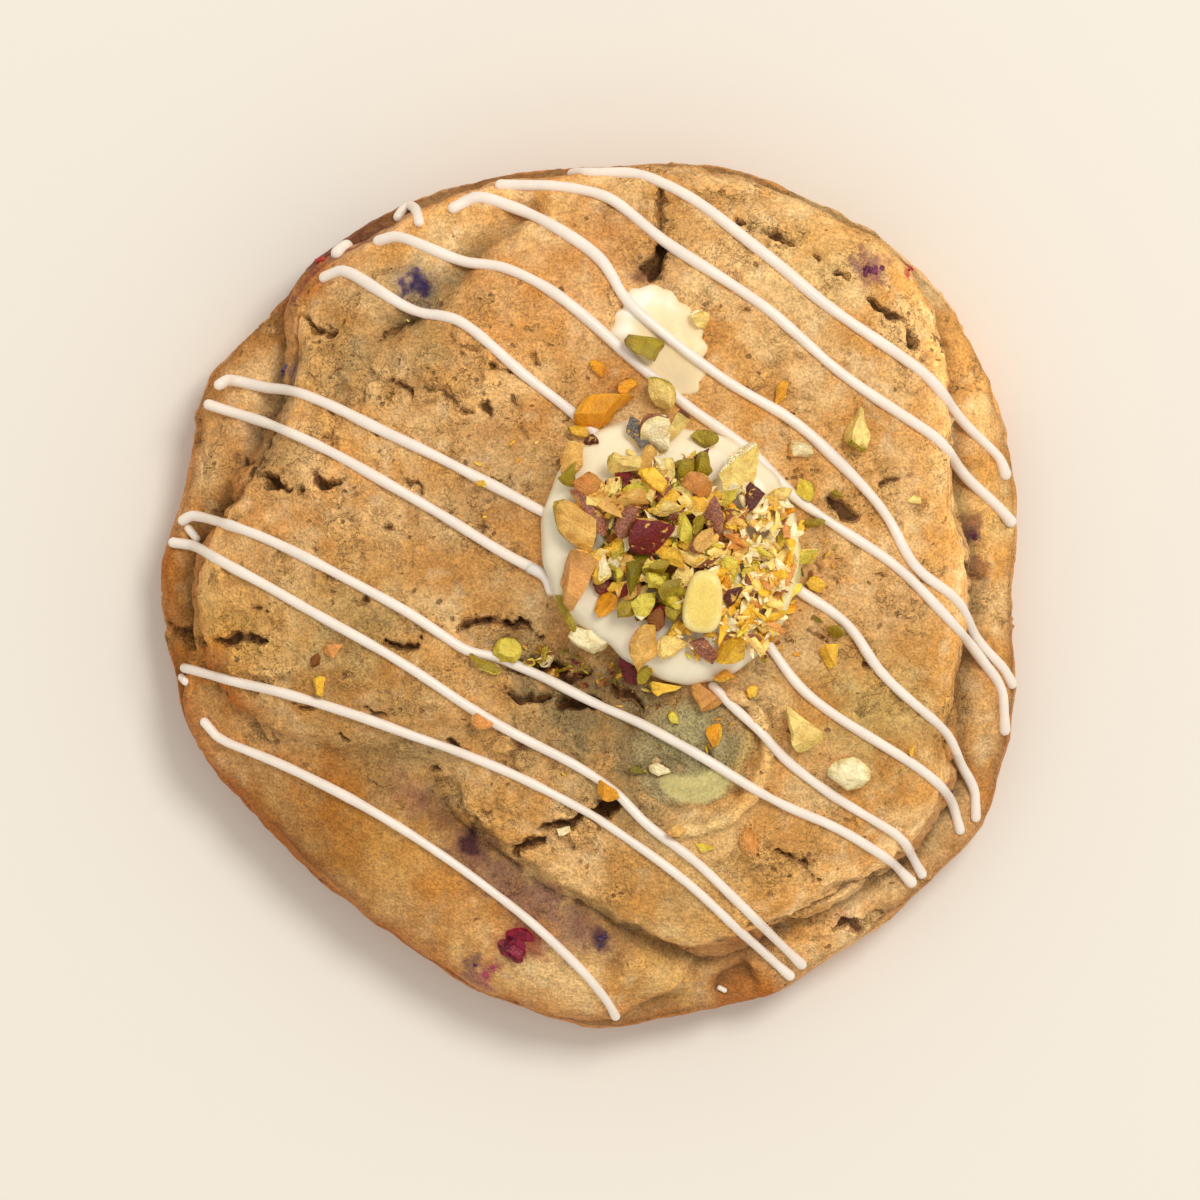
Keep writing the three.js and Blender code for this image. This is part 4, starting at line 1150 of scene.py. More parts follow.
def make_button(ground):
    """The button: a thick, round-edged drop of white chocolate, a little uneven."""
    angles = angles_round(160)
    x, y = BUTTON["x"], BUTTON["y"]
    # its side, as a part of its radius and a height
    side = [
        (1.01, BUTTON_BOTTOM), (1.0, 24.5), (1.0, 26.4), (0.97, 27.8), (0.88, 28.7), (0.66, 29.2),
        (0.33, BUTTON_TOP), (0.04, BUTTON_TOP),
    ]
    side = line_through(side, 0.25)
    side = side[np.concatenate([[True], np.diff(side[:, 0]) < 0.01])]
    rings = []
    for part, z in side:
        radius = radius_at(BUTTON["radii"], angles) * part
        rings.append(ring_at(x + radius * np.cos(angles), y + radius * np.sin(angles), z))
    points, faces = loft(rings, (x, y, BUTTON_BOTTOM), (x, y, BUTTON_TOP))
    out = points - (x, y, 25.0)
    out /= np.linalg.norm(out, axis=1)[:, None]
    points = points + out * (0.55 * rough(points, 5.5, 7, 2) + 0.22 * noise(points, 2.6, 8))[:, None]
    made = make_object("button", points, faces, white_chocolate("white_chocolate_button", 0.3))
    tone = plain("#efe3c6", points)
    # lighter towards the top left: a painted highlight
    tone = tinted(tone, "#fff0cc", spots(points, [(1, 17, 6, 0.9), (12, 19, 5, 0.8)]))
    # yellower on the right beside the golden crumbs: painted reflection
    tone = tinted(tone, "#fff0a8", spots(points, [(24, 3, 7, 0.9)]))
    give_tone(made.data, "tint", tone)
    return made


def sunk_piece(name, centre, radius_of, height_of, material, columns=128, rows=34):
    """A piece sunk in the top: an outline by angle, and a height above the dough's own by place."""
    angles = angles_round(columns)
    edge = radius_of(angles)
    rings = []
    for part in np.concatenate([[1.0], np.linspace(1.0, 0.02, rows)]):
        x = centre[0] + edge * part * np.cos(angles)
        y = centre[1] + edge * part * np.sin(angles)
        share = np.hypot(x, y) / radius_at(UPPER["radii"], np.arctan2(y, x))
        height = dome_height(UPPER, share, x, y) + height_of(x, y, part)
        rings.append(ring_at(x, y, height - (0 if rings else 2.4)))
    low, high = rings[0][:, 2].min(), rings[-1][:, 2].mean()
    points, faces = loft(rings, (*centre, low), (*centre, high))
    return make_object(name, points, faces, material), points


# The chunk's outline in plan, and the lumps in which it melted: x, y, radius, height.
CHUNK_OUTLINE = [
    (3.8, 35.4), (4.6, 36.6), (5.6, 36.5), (7.2, 37.2), (8.4, 36.4), (9.4, 36.3), (10.2, 34.9),
    (11.6, 34.2), (12.0, 32.6), (13.1, 31.9), (12.9, 30.6), (13.8, 29.6), (12.9, 28.2),
    (13.6, 26.6), (12.8, 25.4),
    (12.6, 24.2), (10.4, 23.8), (8.0, 24.8), (5.8, 26.6), (4.4, 28.2), (2.8, 29.2), (2.9, 30.4),
    (1.9, 31.2),
    (2.6, 32.4), (2.6, 33.6), (3.7, 34.2),
]
CHUNK_LUMPS = [
    (4.4, 34.4, 1.7, 0.75), (3.5, 31.4, 1.3, 0.6), (6.4, 35.9, 1.2, 0.6), (8.9, 35.0, 1.3, 0.35),
    (6.3, 32.6, 1.4, 0.25), (5.2, 29.6, 1.6, 0.35), (9.5, 25.6, 3.2, -0.45), (12.2, 29.0, 0.9, 0.3),
    (12.6, 31.8, 0.8, 0.25), (11.9, 33.6, 0.8, 0.25), (9.6, 30.6, 2.2, 0.1),
]


def make_chunk():
    """The chunk: melted in lumps, and sunk in the top."""
    centre = (8.0, 30.6)
    spots_at = np.array(CHUNK_OUTLINE) - centre
    at = np.arctan2(spots_at[:, 1], spots_at[:, 0])
    reach = np.hypot(spots_at[:, 0], spots_at[:, 1])

    def height_of(x, y, part):
        flat = ring_at(x, y, 0.0)
        lumps = spots(flat, CHUNK_LUMPS) + 0.12 * rough(flat, 2.0, 13)
        return lumps * (1 - part**6) + 0.5 * math.sqrt(max(0.0, 1 - part**10)) - 0.35

    made, points = sunk_piece(
        "chunk", centre, lambda angles: np.interp(angles, at, reach, period=TURN) * 1.02, height_of,
        white_chocolate("white_chocolate_chunk", 0.42),
    )
    tone = plain("#f8deab", points)
    tone = tinted(tone, "#fff6e2", 1.5 * spots(points, CHUNK_LUMPS[:4]))
    tone = tinted(tone, "#e2cda6", spots(points, [(10.0, 25.2, 2.6, 0.6)]))
    give_tone(made.data, "tint", tone)
    return made


# Where the wafer lies bare, outside of which crumb is baked on to it: x, y, radius, amount.
WAFER_BARE = [
    (9.8, -22.8, 1.6, 0.8), (11.8, -23.3, 1.8, 0.9), (13.8, -23.0, 1.8, 0.9), (15.4, -21.8, 1.5, 0.8),
    (8.6, -22.0, 1.2, 0.5), (11.0, -14.8, 2.6, 0.35),
]
WAFER_HOLLOWS = [
    (7.6, -20.4, 1.6, 0.5), (10.6, -20.0, 1.5, 0.35), (13.8, -19.4, 1.2, 0.3), (4.6, -16.6, 2.4, 0.3),
]
# Where the dough's edge is pressed up beside it.
WAFER_RIDGE = [(18.9, -15.6), (18.3, -18.4), (17.2, -21.0), (16.2, -23.6)]


def make_wafer():
    """The wafer: bare in smooth, curved patches, with crumbly crust baked on between them."""

    def swirl(x, y):
        return np.hypot((x - 10.4) / 1.1, y + 14.4) * 3.1

    def bare_at(points):
        return smooth_step(0.28, 0.72, spots(points, WAFER_BARE) + 0.3 * rough(points, 1.5, 19))

    def height_of(x, y, part):
        flat = ring_at(x, y, 0.0)
        bare = bare_at(flat)
        streaks = np.sin(swirl(x, y))
        crust = 0.5 * rough(flat, 2.0, 17) + 0.35 * smooth_step(-0.04, 0.1, rough(flat, 1.7, 23))
        rise = 0.05 + bare * (0.25 + 0.03 * streaks) + (1 - bare) * crust
        rise += 0.7 * soft_line(flat[:, :2], WAFER_RIDGE, 0.7)
        return rise - spots(flat, WAFER_HOLLOWS) - 1.1 * part**6

    def radius_of(angles):
        wavy = 1.02 + 0.04 * np.sin(5 * angles) + 0.03 * np.sin(9 * angles)
        return radius_at(WAFER["radii"], angles) * wavy

    made, points = sunk_piece("wafer", (WAFER["x"], WAFER["y"]), radius_of, height_of, green_chocolate())
    flat = points * (1, 1, 0)
    bare = bare_at(flat)
    streaks = np.sin(swirl(flat[:, 0], flat[:, 1]) + 2.0 * noise(flat, 2.4, 27))
    tone = plain("#a08d5c", points)
    tone = tinted(tone, "#c2ae78", smooth_step(-0.3, 0.5, rough(flat, 1.8, 31)))
    baked_on = part_of(WAFER, flat) + 0.3 * rough(flat, 2.4, 33)
    tone = tinted(tone, "#c0955a", 0.9 * smooth_step(0.6, 0.95, baked_on))
    tone = tinted(tone, "#bcae78", 0.8 * spots(flat, [(10.8, -14.6, 3.6, 1.0)]))
    tone = tinted(tone, "#dbb469", soft_line(flat[:, :2], WAFER_RIDGE, 0.8))
    tone = tinted(tone, "#c8b876", bare)
    tone = tinted(tone, "#a69a5f", bare * 0.3 * smooth_step(0.2, 0.9, streaks))
    # darker in its hollows: painted shade
    tone = tinted(tone, "#5f4420", 1.1 * spots(flat, WAFER_HOLLOWS))
    give_tone(made.data, "tone", tone)
    give_value(made.data, "bare", bare)
    return made


# ---------- chopped nuts ----------

FLESH = {
    "green": "#a88f14", "deep": "#85750a", "lime": "#ead24a", "yellow": "#ffdd80", "cream": "#ffecb8",
    "tan": "#efb85c", "peach": "#e4a253", "orange": "#f2a41a", "gold": "#f8c238", "amber": "#cf941a",
    "maroon": "#700f0c", "mauve": "#94583c", "purple": "#5c2618", "slate": "#6b5f54", "brown": "#8c5014",
    "salmon": "#e09648",
}
PAPERY = ("maroon", "mauve", "purple", "slate")  # pieces that lie with their skin up
# Chopped kernels: x, y, length, width, angle of the length, flesh, skin, level in the pile.
HEAP = [
    (-1.4, 1.8, 7.2, 5.0, 82, "peach", "tan", 0), (-1.8, 8.3, 7.2, 4.6, -42, "tan", "green", 0),
    (-2.6, 16.2, 4.8, 2.8, 65, "tan", "peach", 0), (-2.6, 14.2, 2.8, 2.6, 20, "green", "lime", 0),
    (4.1, 15.8, 5.2, 3.4, -30, "yellow", "green", 0), (-0.4, 13.0, 4.4, 2.9, -15, "salmon", "tan", 0),
    (7.9, 19.4, 4.8, 4.2, -40, "cream", "mauve", 0), (9.8, 20.2, 4.2, 3.9, 90, "yellow", "purple", 0),
    (13.5, 18.6, 3.6, 2.2, -5, "green", "yellow", 0), (5.4, 19.2, 4.1, 2.6, -72, "slate", "purple", 1),
    (17.8, 15.0, 6.4, 4.4, 35, "yellow", "cream", 0), (12.8, 16.0, 2.8, 1.8, 20, "purple", "mauve", 0),
    (10.6, 15.4, 2.6, 1.5, 0, "green", "yellow", 0), (8.6, 14.6, 3.4, 2.8, 60, "yellow", "mauve", 0),
    (7.4, 13.6, 4.2, 2.2, -38, "gold", "orange", 1), (3.4, 13.8, 2.8, 2.2, 30, "maroon", "brown", 0),
    (12.6, 13.0, 3.6, 3.3, -60, "salmon", "tan", 1), (15.6, 12.4, 4.4, 3.2, 30, "cream", "yellow", 0),
    (19.1, 11.2, 3.9, 2.6, 68, "purple", "mauve", 1), (16.4, 11.6, 2.2, 1.9, 10, "lime", "green", 1),
    (4.9, 11.4, 6.0, 2.6, 18, "tan", "yellow", 1), (2.3, 10.0, 4.2, 2.6, -48, "tan", "peach", 1),
    (-0.2, 10.0, 7.0, 2.0, -58, "mauve", "purple", 2), (4.2, 8.6, 4.2, 2.8, 62, "mauve", "maroon", 1),
    (6.8, 7.3, 5.4, 4.6, 10, "maroon", "purple", 2), (8.8, 10.4, 3.4, 1.8, 15, "yellow", "gold", 1),
    (10.9, 7.6, 4.2, 2.0, -78, "lime", "green", 1), (12.6, 8.6, 3.0, 1.4, 62, "green", "lime", 1),
    (14.4, 9.2, 5.2, 2.8, -64, "mauve", "tan", 1), (13.0, 6.4, 3.6, 2.4, 20, "tan", "mauve", 1),
    (3.0, 5.8, 3.6, 2.2, 80, "gold", "green", 0), (1.4, 3.3, 3.3, 2.2, 62, "cream", "yellow", 1),
    (4.8, 2.9, 6.4, 2.2, 68, "deep", "green", 1), (6.0, -1.0, 3.8, 2.8, 70, "lime", "cream", 1),
    (7.6, 3.2, 3.4, 2.0, 0, "green", "lime", 1), (7.4, 1.6, 3.0, 1.9, -25, "lime", "green", 2),
    (9.2, 0.8, 3.2, 2.0, 55, "green", "lime", 2), (9.4, 4.6, 4.4, 2.0, -30, "gold", "tan", 1),
    (16.4, 3.2, 3.6, 2.0, -60, "lime", "cream", 1), (16.7, 0.0, 2.8, 2.4, 70, "purple", "maroon", 1),
    (1.6, -1.0, 3.2, 2.4, 20, "orange", "gold", 0), (1.4, 1.0, 2.6, 2.2, -30, "maroon", "brown", 0),
    (-0.4, -5.3, 4.9, 4.0, 10, "cream", "peach", 0), (6.0, -6.0, 5.8, 3.6, 78, "tan", "peach", 0),
    (9.4, -6.2, 3.4, 2.9, 0, "yellow", "lime", 0), (7.7, -2.6, 3.0, 2.2, 60, "brown", "maroon", 0),
    (10.0, -2.0, 2.6, 2.4, 0, "green", "deep", 0), (10.4, -4.4, 3.0, 2.2, 50, "gold", "green", 0),
    (13.2, -6.4, 3.8, 2.5, -28, "mauve", "purple", 1), (16.6, -6.8, 4.4, 3.0, 62, "gold", "orange", 1),
    (3.9, -8.6, 4.8, 1.7, -64, "maroon", "brown", 0), (13.2, -11.6, 4.4, 2.6, -66, "peach", "tan", 0),
    (8.3, -11.0, 3.4, 2.4, -25, "gold", "green", 0), (15.5, -9.6, 2.6, 1.5, 15, "orange", "gold", 0),
    (20.2, 8.5, 4.8, 1.7, 8, "gold", "orange", 0), (20.4, -4.4, 3.2, 1.4, -55, "orange", "gold", 0),
    (22.2, 11.6, 3.5, 2.3, 12, "yellow", "gold", 0), (23.6, 7.6, 2.6, 2.2, 25, "lime", "yellow", 0),
    (-3.2, -2.2, 5.0, 1.1, -68, "green", "deep", 0), (6.2, -9.4, 2.6, 1.8, 30, "green", "gold", 0),
]
KERNEL = (13.1, -0.8, 7.5, 4.7, 86)  # the half kernel that lies on top
# The same on the dough.
SCATTERED = [
    (0.9, 22.4, 7.0, 3.8, 48, "orange", "purple"), (31.7, 19.6, 5.0, 3.9, 114, "yellow", "green"),
    (25.0, -15.8, 5.3, 4.8, 80, "yellow", "lime"), (30.4, -21.4, 4.8, 3.8, -5, "cream", "peach"),
    (6.3, 29.6, 4.8, 4.0, 20, "green", "brown"), (12.9, 32.8, 2.8, 2.0, -50, "yellow", "cream"),
    (24.8, 17.2, 2.9, 2.6, -60, "cream", "peach"), (22.4, 24.2, 2.8, 1.6, 55, "orange", "gold"),
    (0.7, 27.0, 2.6, 1.5, -50, "orange", "gold"), (4.2, 24.8, 2.6, 2.0, 0, "orange", "brown"),
    (8.1, 24.0, 4.6, 3.4, -50, "yellow", "green"), (-1.8, 19.6, 2.6, 1.7, -20, "gold", "green"),
    (-0.2, 18.4, 2.0, 1.4, 15, "purple", "maroon"), (25.4, 12.6, 2.7, 2.3, 90, "lime", "green"),
    (26.4, 8.6, 3.0, 1.6, 20, "green", "deep"), (25.2, 4.6, 3.2, 2.0, 10, "lime", "yellow"),
    (28.4, -7.2, 3.1, 2.6, 90, "gold", "yellow"), (29.0, -4.4, 2.2, 1.6, 0, "green", "deep"),
    (26.6, 1.2, 2.3, 2.1, 30, "gold", "lime"), (29.0, 12.0, 1.3, 1.2, 0, "green", "lime"),
    (38.3, 11.3, 1.9, 1.0, 0, "yellow", "gold"), (14.4, -16.8, 2.7, 2.0, 80, "orange", "gold"),
    (1.9, -23.2, 2.6, 2.2, 90, "orange", "yellow"), (18.7, -29.4, 3.6, 2.4, 100, "salmon", "peach"),
    (13.4, -30.2, 2.3, 1.1, 0, "lime", "yellow"), (-32.8, -10.8, 2.4, 2.1, 60, "gold", "deep"),
    (-31.0, -6.6, 2.2, 1.8, 10, "salmon", "cream"), (-33.0, -7.8, 1.8, 1.3, 50, "brown", "mauve"),
    (-10.0, -6.6, 3.3, 2.8, -30, "lime", "deep"), (-13.1, -8.4, 4.4, 1.3, -28, "green", "lime"),
    (-5.5, -7.6, 2.3, 2.0, 85, "cream", "tan"), (-7.6, -8.2, 1.6, 1.2, 10, "lime", "green"),
    (-13.3, -15.2, 2.6, 1.8, -22, "salmon", "peach"), (9.5, -14.6, 1.7, 1.2, -60, "lime", "green"),
    (19.0, -11.5, 1.7, 1.4, 40, "gold", "lime"), (10.1, -28.2, 2.4, 1.3, 20, "tan", "peach"),
    (5.4, -20.8, 2.0, 1.4, 10, "deep", "green"), (8.0, -20.8, 2.6, 1.5, 0, "cream", "tan"),
    (-3.4, -28.2, 1.6, 1.2, 20, "cream", "gold"), (-5.0, -9.4, 1.6, 1.0, 60, "tan", "gold"),
    (38.0, -18.6, 1.6, 0.7, 80, "gold", "yellow"), (-13.4, 13.2, 1.3, 1.0, 0, "gold", "lime"),
]
# Smaller chopped pieces between the large ones: how many, least and most length, and their colours.
FILLERS = dict(count=105, least=1.9, most=4.0)
FILLER_TINTS = [
    ("yellow", "green"), ("gold", "brown"), ("lime", "green"), ("cream", "tan"), ("green", "deep"),
    ("yellow", "amber"), ("tan", "brown"), ("yellow", "deep"), ("gold", "maroon"), ("cream", "amber"),
    ("mauve", "tan"), ("yellow", "mauve"), ("tan", "amber"), ("gold", "green"),
]
# Fine crumbs: x, y, radius across, radius up, how many, least and most size. The bed lies under the
# large pieces, and the others among them, in the hollow beside the button and loose on the dough.
BED = [(8.4, 6.6, 7.0, 8.2, 120, 1.8, 3.2)]
CRUMBS = [
    (18.6, 3.4, 5.4, 8.8, 170, 1.0, 3.0), (18.4, -1.8, 4.2, 5.0, 70, 1.0, 3.0),
    (9.5, 7.0, 8.0, 7.6, 70, 0.8, 1.8), (14.0, -5.8, 5.0, 2.6, 30, 0.7, 1.6),
    (9.0, 17.0, 5.0, 1.6, 10, 0.5, 1.2), (22.0, 4.0, 3.0, 8.0, 30, 0.8, 1.9),
]
BED_TINTS = ["brown", "deep", "amber", "maroon", "green", "brown", "amber", "brown"]
STRAY_TINTS = ["gold", "deep", "tan", "brown", "green", "yellow", "gold", "orange"]
HOLLOW = [(-5.6, -7.6, 5.0, 1.8, 34, 0.5, 1.2), (0.6, -9.6, 3.6, 1.4, 24, 0.5, 1.2)]
STRAY = [
    (-5.6, -7.8, 5.0, 1.8, 8, 0.5, 1.2),
    (25.5, 5.0, 3.4, 8.0, 34, 0.3, 1.0), (-8.0, 14.5, 7.0, 4.4, 16, 0.3, 0.8),
    (10.0, -14.0, 10.0, 5.0, 22, 0.3, 0.9), (22.0, -7.0, 3.0, 3.0, 14, 0.3, 0.9),
    (5.0, 0.0, 44.0, 42.0, 46, 0.2, 0.6),
]
CRUMB_TINTS = [
    "gold", "yellow", "cream", "lime", "cream", "gold", "orange", "yellow", "cream", "gold", "yellow",
    "cream", "yellow", "tan", "yellow", "lime", "cream", "salmon", "cream", "mauve",
]


def cornered(faces, values):
    """One row of values for each corner of each face, from one row for each point."""
    return values[np.concatenate([np.array(face) for face in faces])]


def chopped(random, length, width, thickness, fineness=2, cuts=4, skin_up=False):
    """A piece chopped off a kernel: part of the kernel's round outside, and cut faces, a little
    dished or domed, with worn edges. Gives its points, faces, each point's place within the kernel,
    and which faces are the kernel's outside."""
    shape = bmesh.new()
    bmesh.ops.create_icosphere(shape, subdivisions=fineness, radius=1.0)
    ways = random.normal(size=(cuts, 3)) * (1, 1, 0.65)
    if skin_up:
        ways[:, 2] = -0.6 * np.abs(ways[:, 2])
    else:
        ways[0] = (*random.uniform(-0.4, 0.4, 2), 1.0)
    for way in ways:
        way = way / np.linalg.norm(way)
        everything = [*shape.verts, *shape.edges, *shape.faces]
        spot = way * random.uniform(0.15, 0.55)
        bmesh.ops.bisect_plane(shape, geom=everything, plane_co=spot, plane_no=way, clear_outer=True)
        bmesh.ops.holes_fill(shape, edges=[edge for edge in shape.edges if edge.is_boundary])
    long_edges = [edge for edge in shape.edges if edge.calc_length() > 0.4]
    bmesh.ops.subdivide_edges(shape, edges=long_edges, cuts=3)
    sharp = [edge for edge in shape.edges if edge.calc_face_angle(0.0) > 0.6]
    bmesh.ops.bevel(
        shape, geom=sharp, offset=0.06, segments=1, profile=0.5, affect="EDGES", clamp_overlap=True
    )
    bmesh.ops.recalc_face_normals(shape, faces=shape.faces)
    for face in [face for face in shape.faces if len(face.verts) > 6]:
        way, size = face.normal.copy(), math.sqrt(face.calc_area())
        middle = bmesh.ops.poke(shape, faces=[face])["verts"]
        bmesh.ops.translate(shape, verts=middle, vec=way * size * random.uniform(-0.1, 0.07))
    within = np.array([v.co for v in shape.verts])
    # the shape is the same each run, but not the order of its triangles, nor so their shades
    faces = [tuple(v.index for v in face.verts) for face in shape.faces]
    outside = np.array([face.normal.dot(face.calc_center_median()) > 0.9 for face in shape.faces])
    shape.free()
    low, high = within.min(0), within.max(0)
    points = (within - (low + high) / 2) * (np.array((length, width, thickness)) / (high - low))
    points += 0.09 * width * noise_vectors(points, 0.55 * width, 210)
    points += 0.035 * width * noise_vectors(points, 0.22 * width, 220)
    return points, faces, within, outside


def turned(points, random, degrees, tilt):
    """Points tilted a little at random and turned about the vertical."""
    a, b = random.uniform(-tilt, tilt, 2)
    c = math.radians(degrees)
    about_x = np.array([[1, 0, 0], [0, math.cos(a), -math.sin(a)], [0, math.sin(a), math.cos(a)]])
    about_y = np.array([[math.cos(b), 0, math.sin(b)], [0, 1, 0], [-math.sin(b), 0, math.cos(b)]])
    about_z = np.array([[math.cos(c), -math.sin(c), 0], [math.sin(c), math.cos(c), 0], [0, 0, 1]])
    return points @ (about_z @ about_y @ about_x).T


HEAP_TOP = 34.1
HEAP_MIDDLE = (10.6, 5.0)
HEAP_RADIUS = 15.0
# How far each layer of the heap may rise above the first, so that it stays a low mound.
LAYERS = {"bed": 0.5, "hollow": 1.0, "crumbs": 1.5, 0: 1.2, 1: 2.2, 2: 2.9}


class Pile:
    """Heights of what lies so far, on a fine grid, so that each piece settles on the others."""

    def __init__(self, ground, low, high, step):
        self.low, self.step = np.array(low, float), step
        xs = np.arange(low[0], high[0], step)
        ys = np.arange(low[1], high[1], step)
        self.heights = np.array([[ground.below(x, y)[0] for y in ys] for x in xs])
        self.xs, self.ys = np.meshgrid(xs, ys, indexing="ij")

    def settle(self, x, y, points, share, layer):
        """Height at which a piece's middle comes to rest on what is under it, within its layer."""
        half = (points.max(0) - points.min(0)) / 2
        reach = np.hypot((self.xs - x) / half[0], (self.ys - y) / half[1])
        inside = reach < 0.85
        if not inside.any():
            return 0.0
        dome = half[2] * np.sqrt(1 - reach[inside] ** 2)
        middle = np.quantile(self.heights[inside] + dome, share)
        out = math.hypot(x - HEAP_MIDDLE[0], y - HEAP_MIDDLE[1]) / HEAP_RADIUS
        if out < 1:
            middle = min(middle, BUTTON_TOP + 0.9 + layer * (1 - out**2), HEAP_TOP - half[2])
        self.heights[inside] = np.maximum(self.heights[inside], middle + dome * 0.85)
        return middle


class Pieces:
    """Many small pieces joined in one mesh, with what their finish reads at the corners of each face:
    the flesh's colour, the skin's, with where it covers, and the place within the kernel."""

    def __init__(self):
        self.points, self.faces, self.count = [], [], 0
        self.tints, self.skins, self.places = [], [], []

    def add(self, points, faces, tints, skins=None, places=None):
        self.points.append(points)
        self.faces += [tuple(corner + self.count for corner in face) for face in faces]
        self.count += len(points)
        self.tints.append(tints)
        self.skins.append(np.zeros((len(tints), 4)) if skins is None else skins)
        self.places.append(np.zeros((len(tints), 3)) if places is None else places)

    def build(self, name, material):
        made = make_object(name, np.vstack(self.points), self.faces, material)
        tints = np.vstack(self.tints)
        for label, kind, field, rows in (
            ("tint", "FLOAT_COLOR", "color", np.column_stack([tints, np.ones(len(tints))])),
            ("skin", "FLOAT_COLOR", "color", np.vstack(self.skins)),
            ("within", "FLOAT_VECTOR", "vector", np.vstack(self.places)),
        ):
            attribute = made.data.attributes.new(label, kind, "CORNER")
            attribute.data.foreach_set(field, rows.astype(np.float32).ravel())
        made.data.set_sharp_from_angle(angle=math.radians(32))
        return made


def nut_colours(piece, random, flesh, skin, lighter=1.0):
    """What a chopped piece's finish reads at the corners of its faces."""
    _, faces, within, outside = piece
    counts = [len(face) for face in faces]
    by_face = np.repeat(random.uniform(0.86, 1.16, len(faces)), counts)
    light = lighter * by_face * random.uniform(0.92, 1.12)
    tints = np.array(linear(FLESH[flesh])[:3]) * light[:, None]
    skins = np.tile(linear(FLESH[skin]), (len(light), 1))
    skins[:, 3] = np.repeat(outside.astype(float), counts)
    return tints, skins, cornered(faces, within)


def make_nuts(ground, bare_ground):
    """The chopped nuts: kernels in the heap and on the dough, and the crumbs among them."""
    random = np.random.default_rng(42)
    low, high = (-14, -22), (34, 33)
    pile = Pile(ground, low, high, 0.3)
    heap, half, loose, fine, stray = (Pieces() for _ in range(5))
    shapes = [chopped(random, 1.0, 0.8, 0.6, cuts=5) for _ in range(36)]

    def rest_height(x, y, points, share, layer):
        if low[0] < x < high[0] and low[1] < y < high[1]:
            return pile.settle(x, y, points, share, LAYERS[layer])
        return ground.below(x, y)[0] + (points[:, 2].max() - points[:, 2].min()) * 0.25

    def sprinkle(target, layer, x, y, across, up, count, least, most):
        for _ in range(count):
            angle = random.uniform(0, TURN)
            out = math.sqrt(random.uniform(0, 1)) * (1 + 0.12 * math.sin(3 * angle))
            px, py = x + across * out * math.cos(angle), y + up * out * math.sin(angle)
            size = least + (most - least) * random.power(0.7)
            piece = shapes[random.integers(len(shapes))]
            stretch = random.uniform((0.9, 0.5, 0.25), (1.8, 0.9, 0.55))
            points = turned(piece[0] * size * stretch, random, random.uniform(0, 360), 0.8)
            tints = {"crumbs": CRUMB_TINTS, 0: STRAY_TINTS}.get(layer, BED_TINTS)
            colours = [tints[random.integers(len(tints))] for _ in range(2)]
            on_drizzle = ground.below(px, py)[0] - bare_ground.below(px, py)[0] > 0.3
            if layer in (0, "hollow") and on_drizzle:
                continue
            z = rest_height(px, py, points, 0.55, layer)
            if z < 12:
                continue
            lighter = 1.2 if layer == "crumbs" else 1.0
            target.add(points + (px, py, z), piece[1], *nut_colours(piece, random, *colours, lighter))

    def lay(target, x, y, length, width, degrees, flesh, skin, level=0):
        papery = flesh in PAPERY
        thick = width * (0.5 if papery else 0.8) * random.uniform(0.85, 1.15)
        fineness, cuts = (3 if length > 3.4 else 2), random.integers(4, 7)
        piece = chopped(random, length, width, thick, fineness, cuts, papery)
        if papery:
            flesh, skin = (skin if skin not in PAPERY else "tan"), flesh
        points = turned(piece[0], random, degrees, 0.42)
        z = rest_height(x, y, points, 0.7, level)
        target.add(points + (x, y, z), piece[1], *nut_colours(piece, random, flesh, skin))

    def fill_between():
        for _ in range(FILLERS["count"]):
            angle, out = random.uniform(0, TURN), math.sqrt(random.uniform(0, 1))
            x, y = 10.2 + 10.6 * out * math.cos(angle), 6.8 + 10.0 * out * math.sin(angle)
            length = random.uniform(FILLERS["least"], FILLERS["most"]) * (0.75 if x > 16 else 1.0)
            degrees, slim = random.uniform(0, 180), random.uniform(0.5, 0.85)
            flesh, skin = FILLER_TINTS[random.integers(len(FILLER_TINTS))]
            # the button shows below and left of the heap
            if y > 1.4 - 0.56 * (x + 1.2) and x > -0.6:
                lay(heap, x, y, length, length * slim, degrees, flesh, skin)

    for patch in BED:
        sprinkle(fine, "bed", *patch)
    for nut in HEAP:
        if nut[-1] == 0:
            lay(heap, *nut)
    fill_between()
    for patch in CRUMBS:
        sprinkle(fine, "crumbs", *patch)
    for nut in sorted(HEAP, key=lambda nut: nut[-1]):
        if nut[-1] > 0:
            lay(heap, *nut)
    x, y, length, width, degrees = KERNEL
    points, faces = half_kernel(length, width)
    edge = np.hypot(points[:, 0] / length, points[:, 1] / width)
    # paler towards its rounded edge: a painted highlight
    tone = tinted(plain("#efd26c", points), "#f9e394", smooth_step(0.36, 0.5, edge))
    points = turned(points, random, degrees, 0.08)
    z = pile.settle(x, y, points, 0.7, LAYERS[2]) + 0.3
    half.add(points + (x, y, z), faces, cornered(faces, tone))
    for nut in SCATTERED:
        lay(loose, *nut)
    for patch in HOLLOW:
        sprinkle(stray, "hollow", *patch)
    for patch in STRAY:
        sprinkle(stray, 0, *patch)
    return heap, half, loose, fine, stray


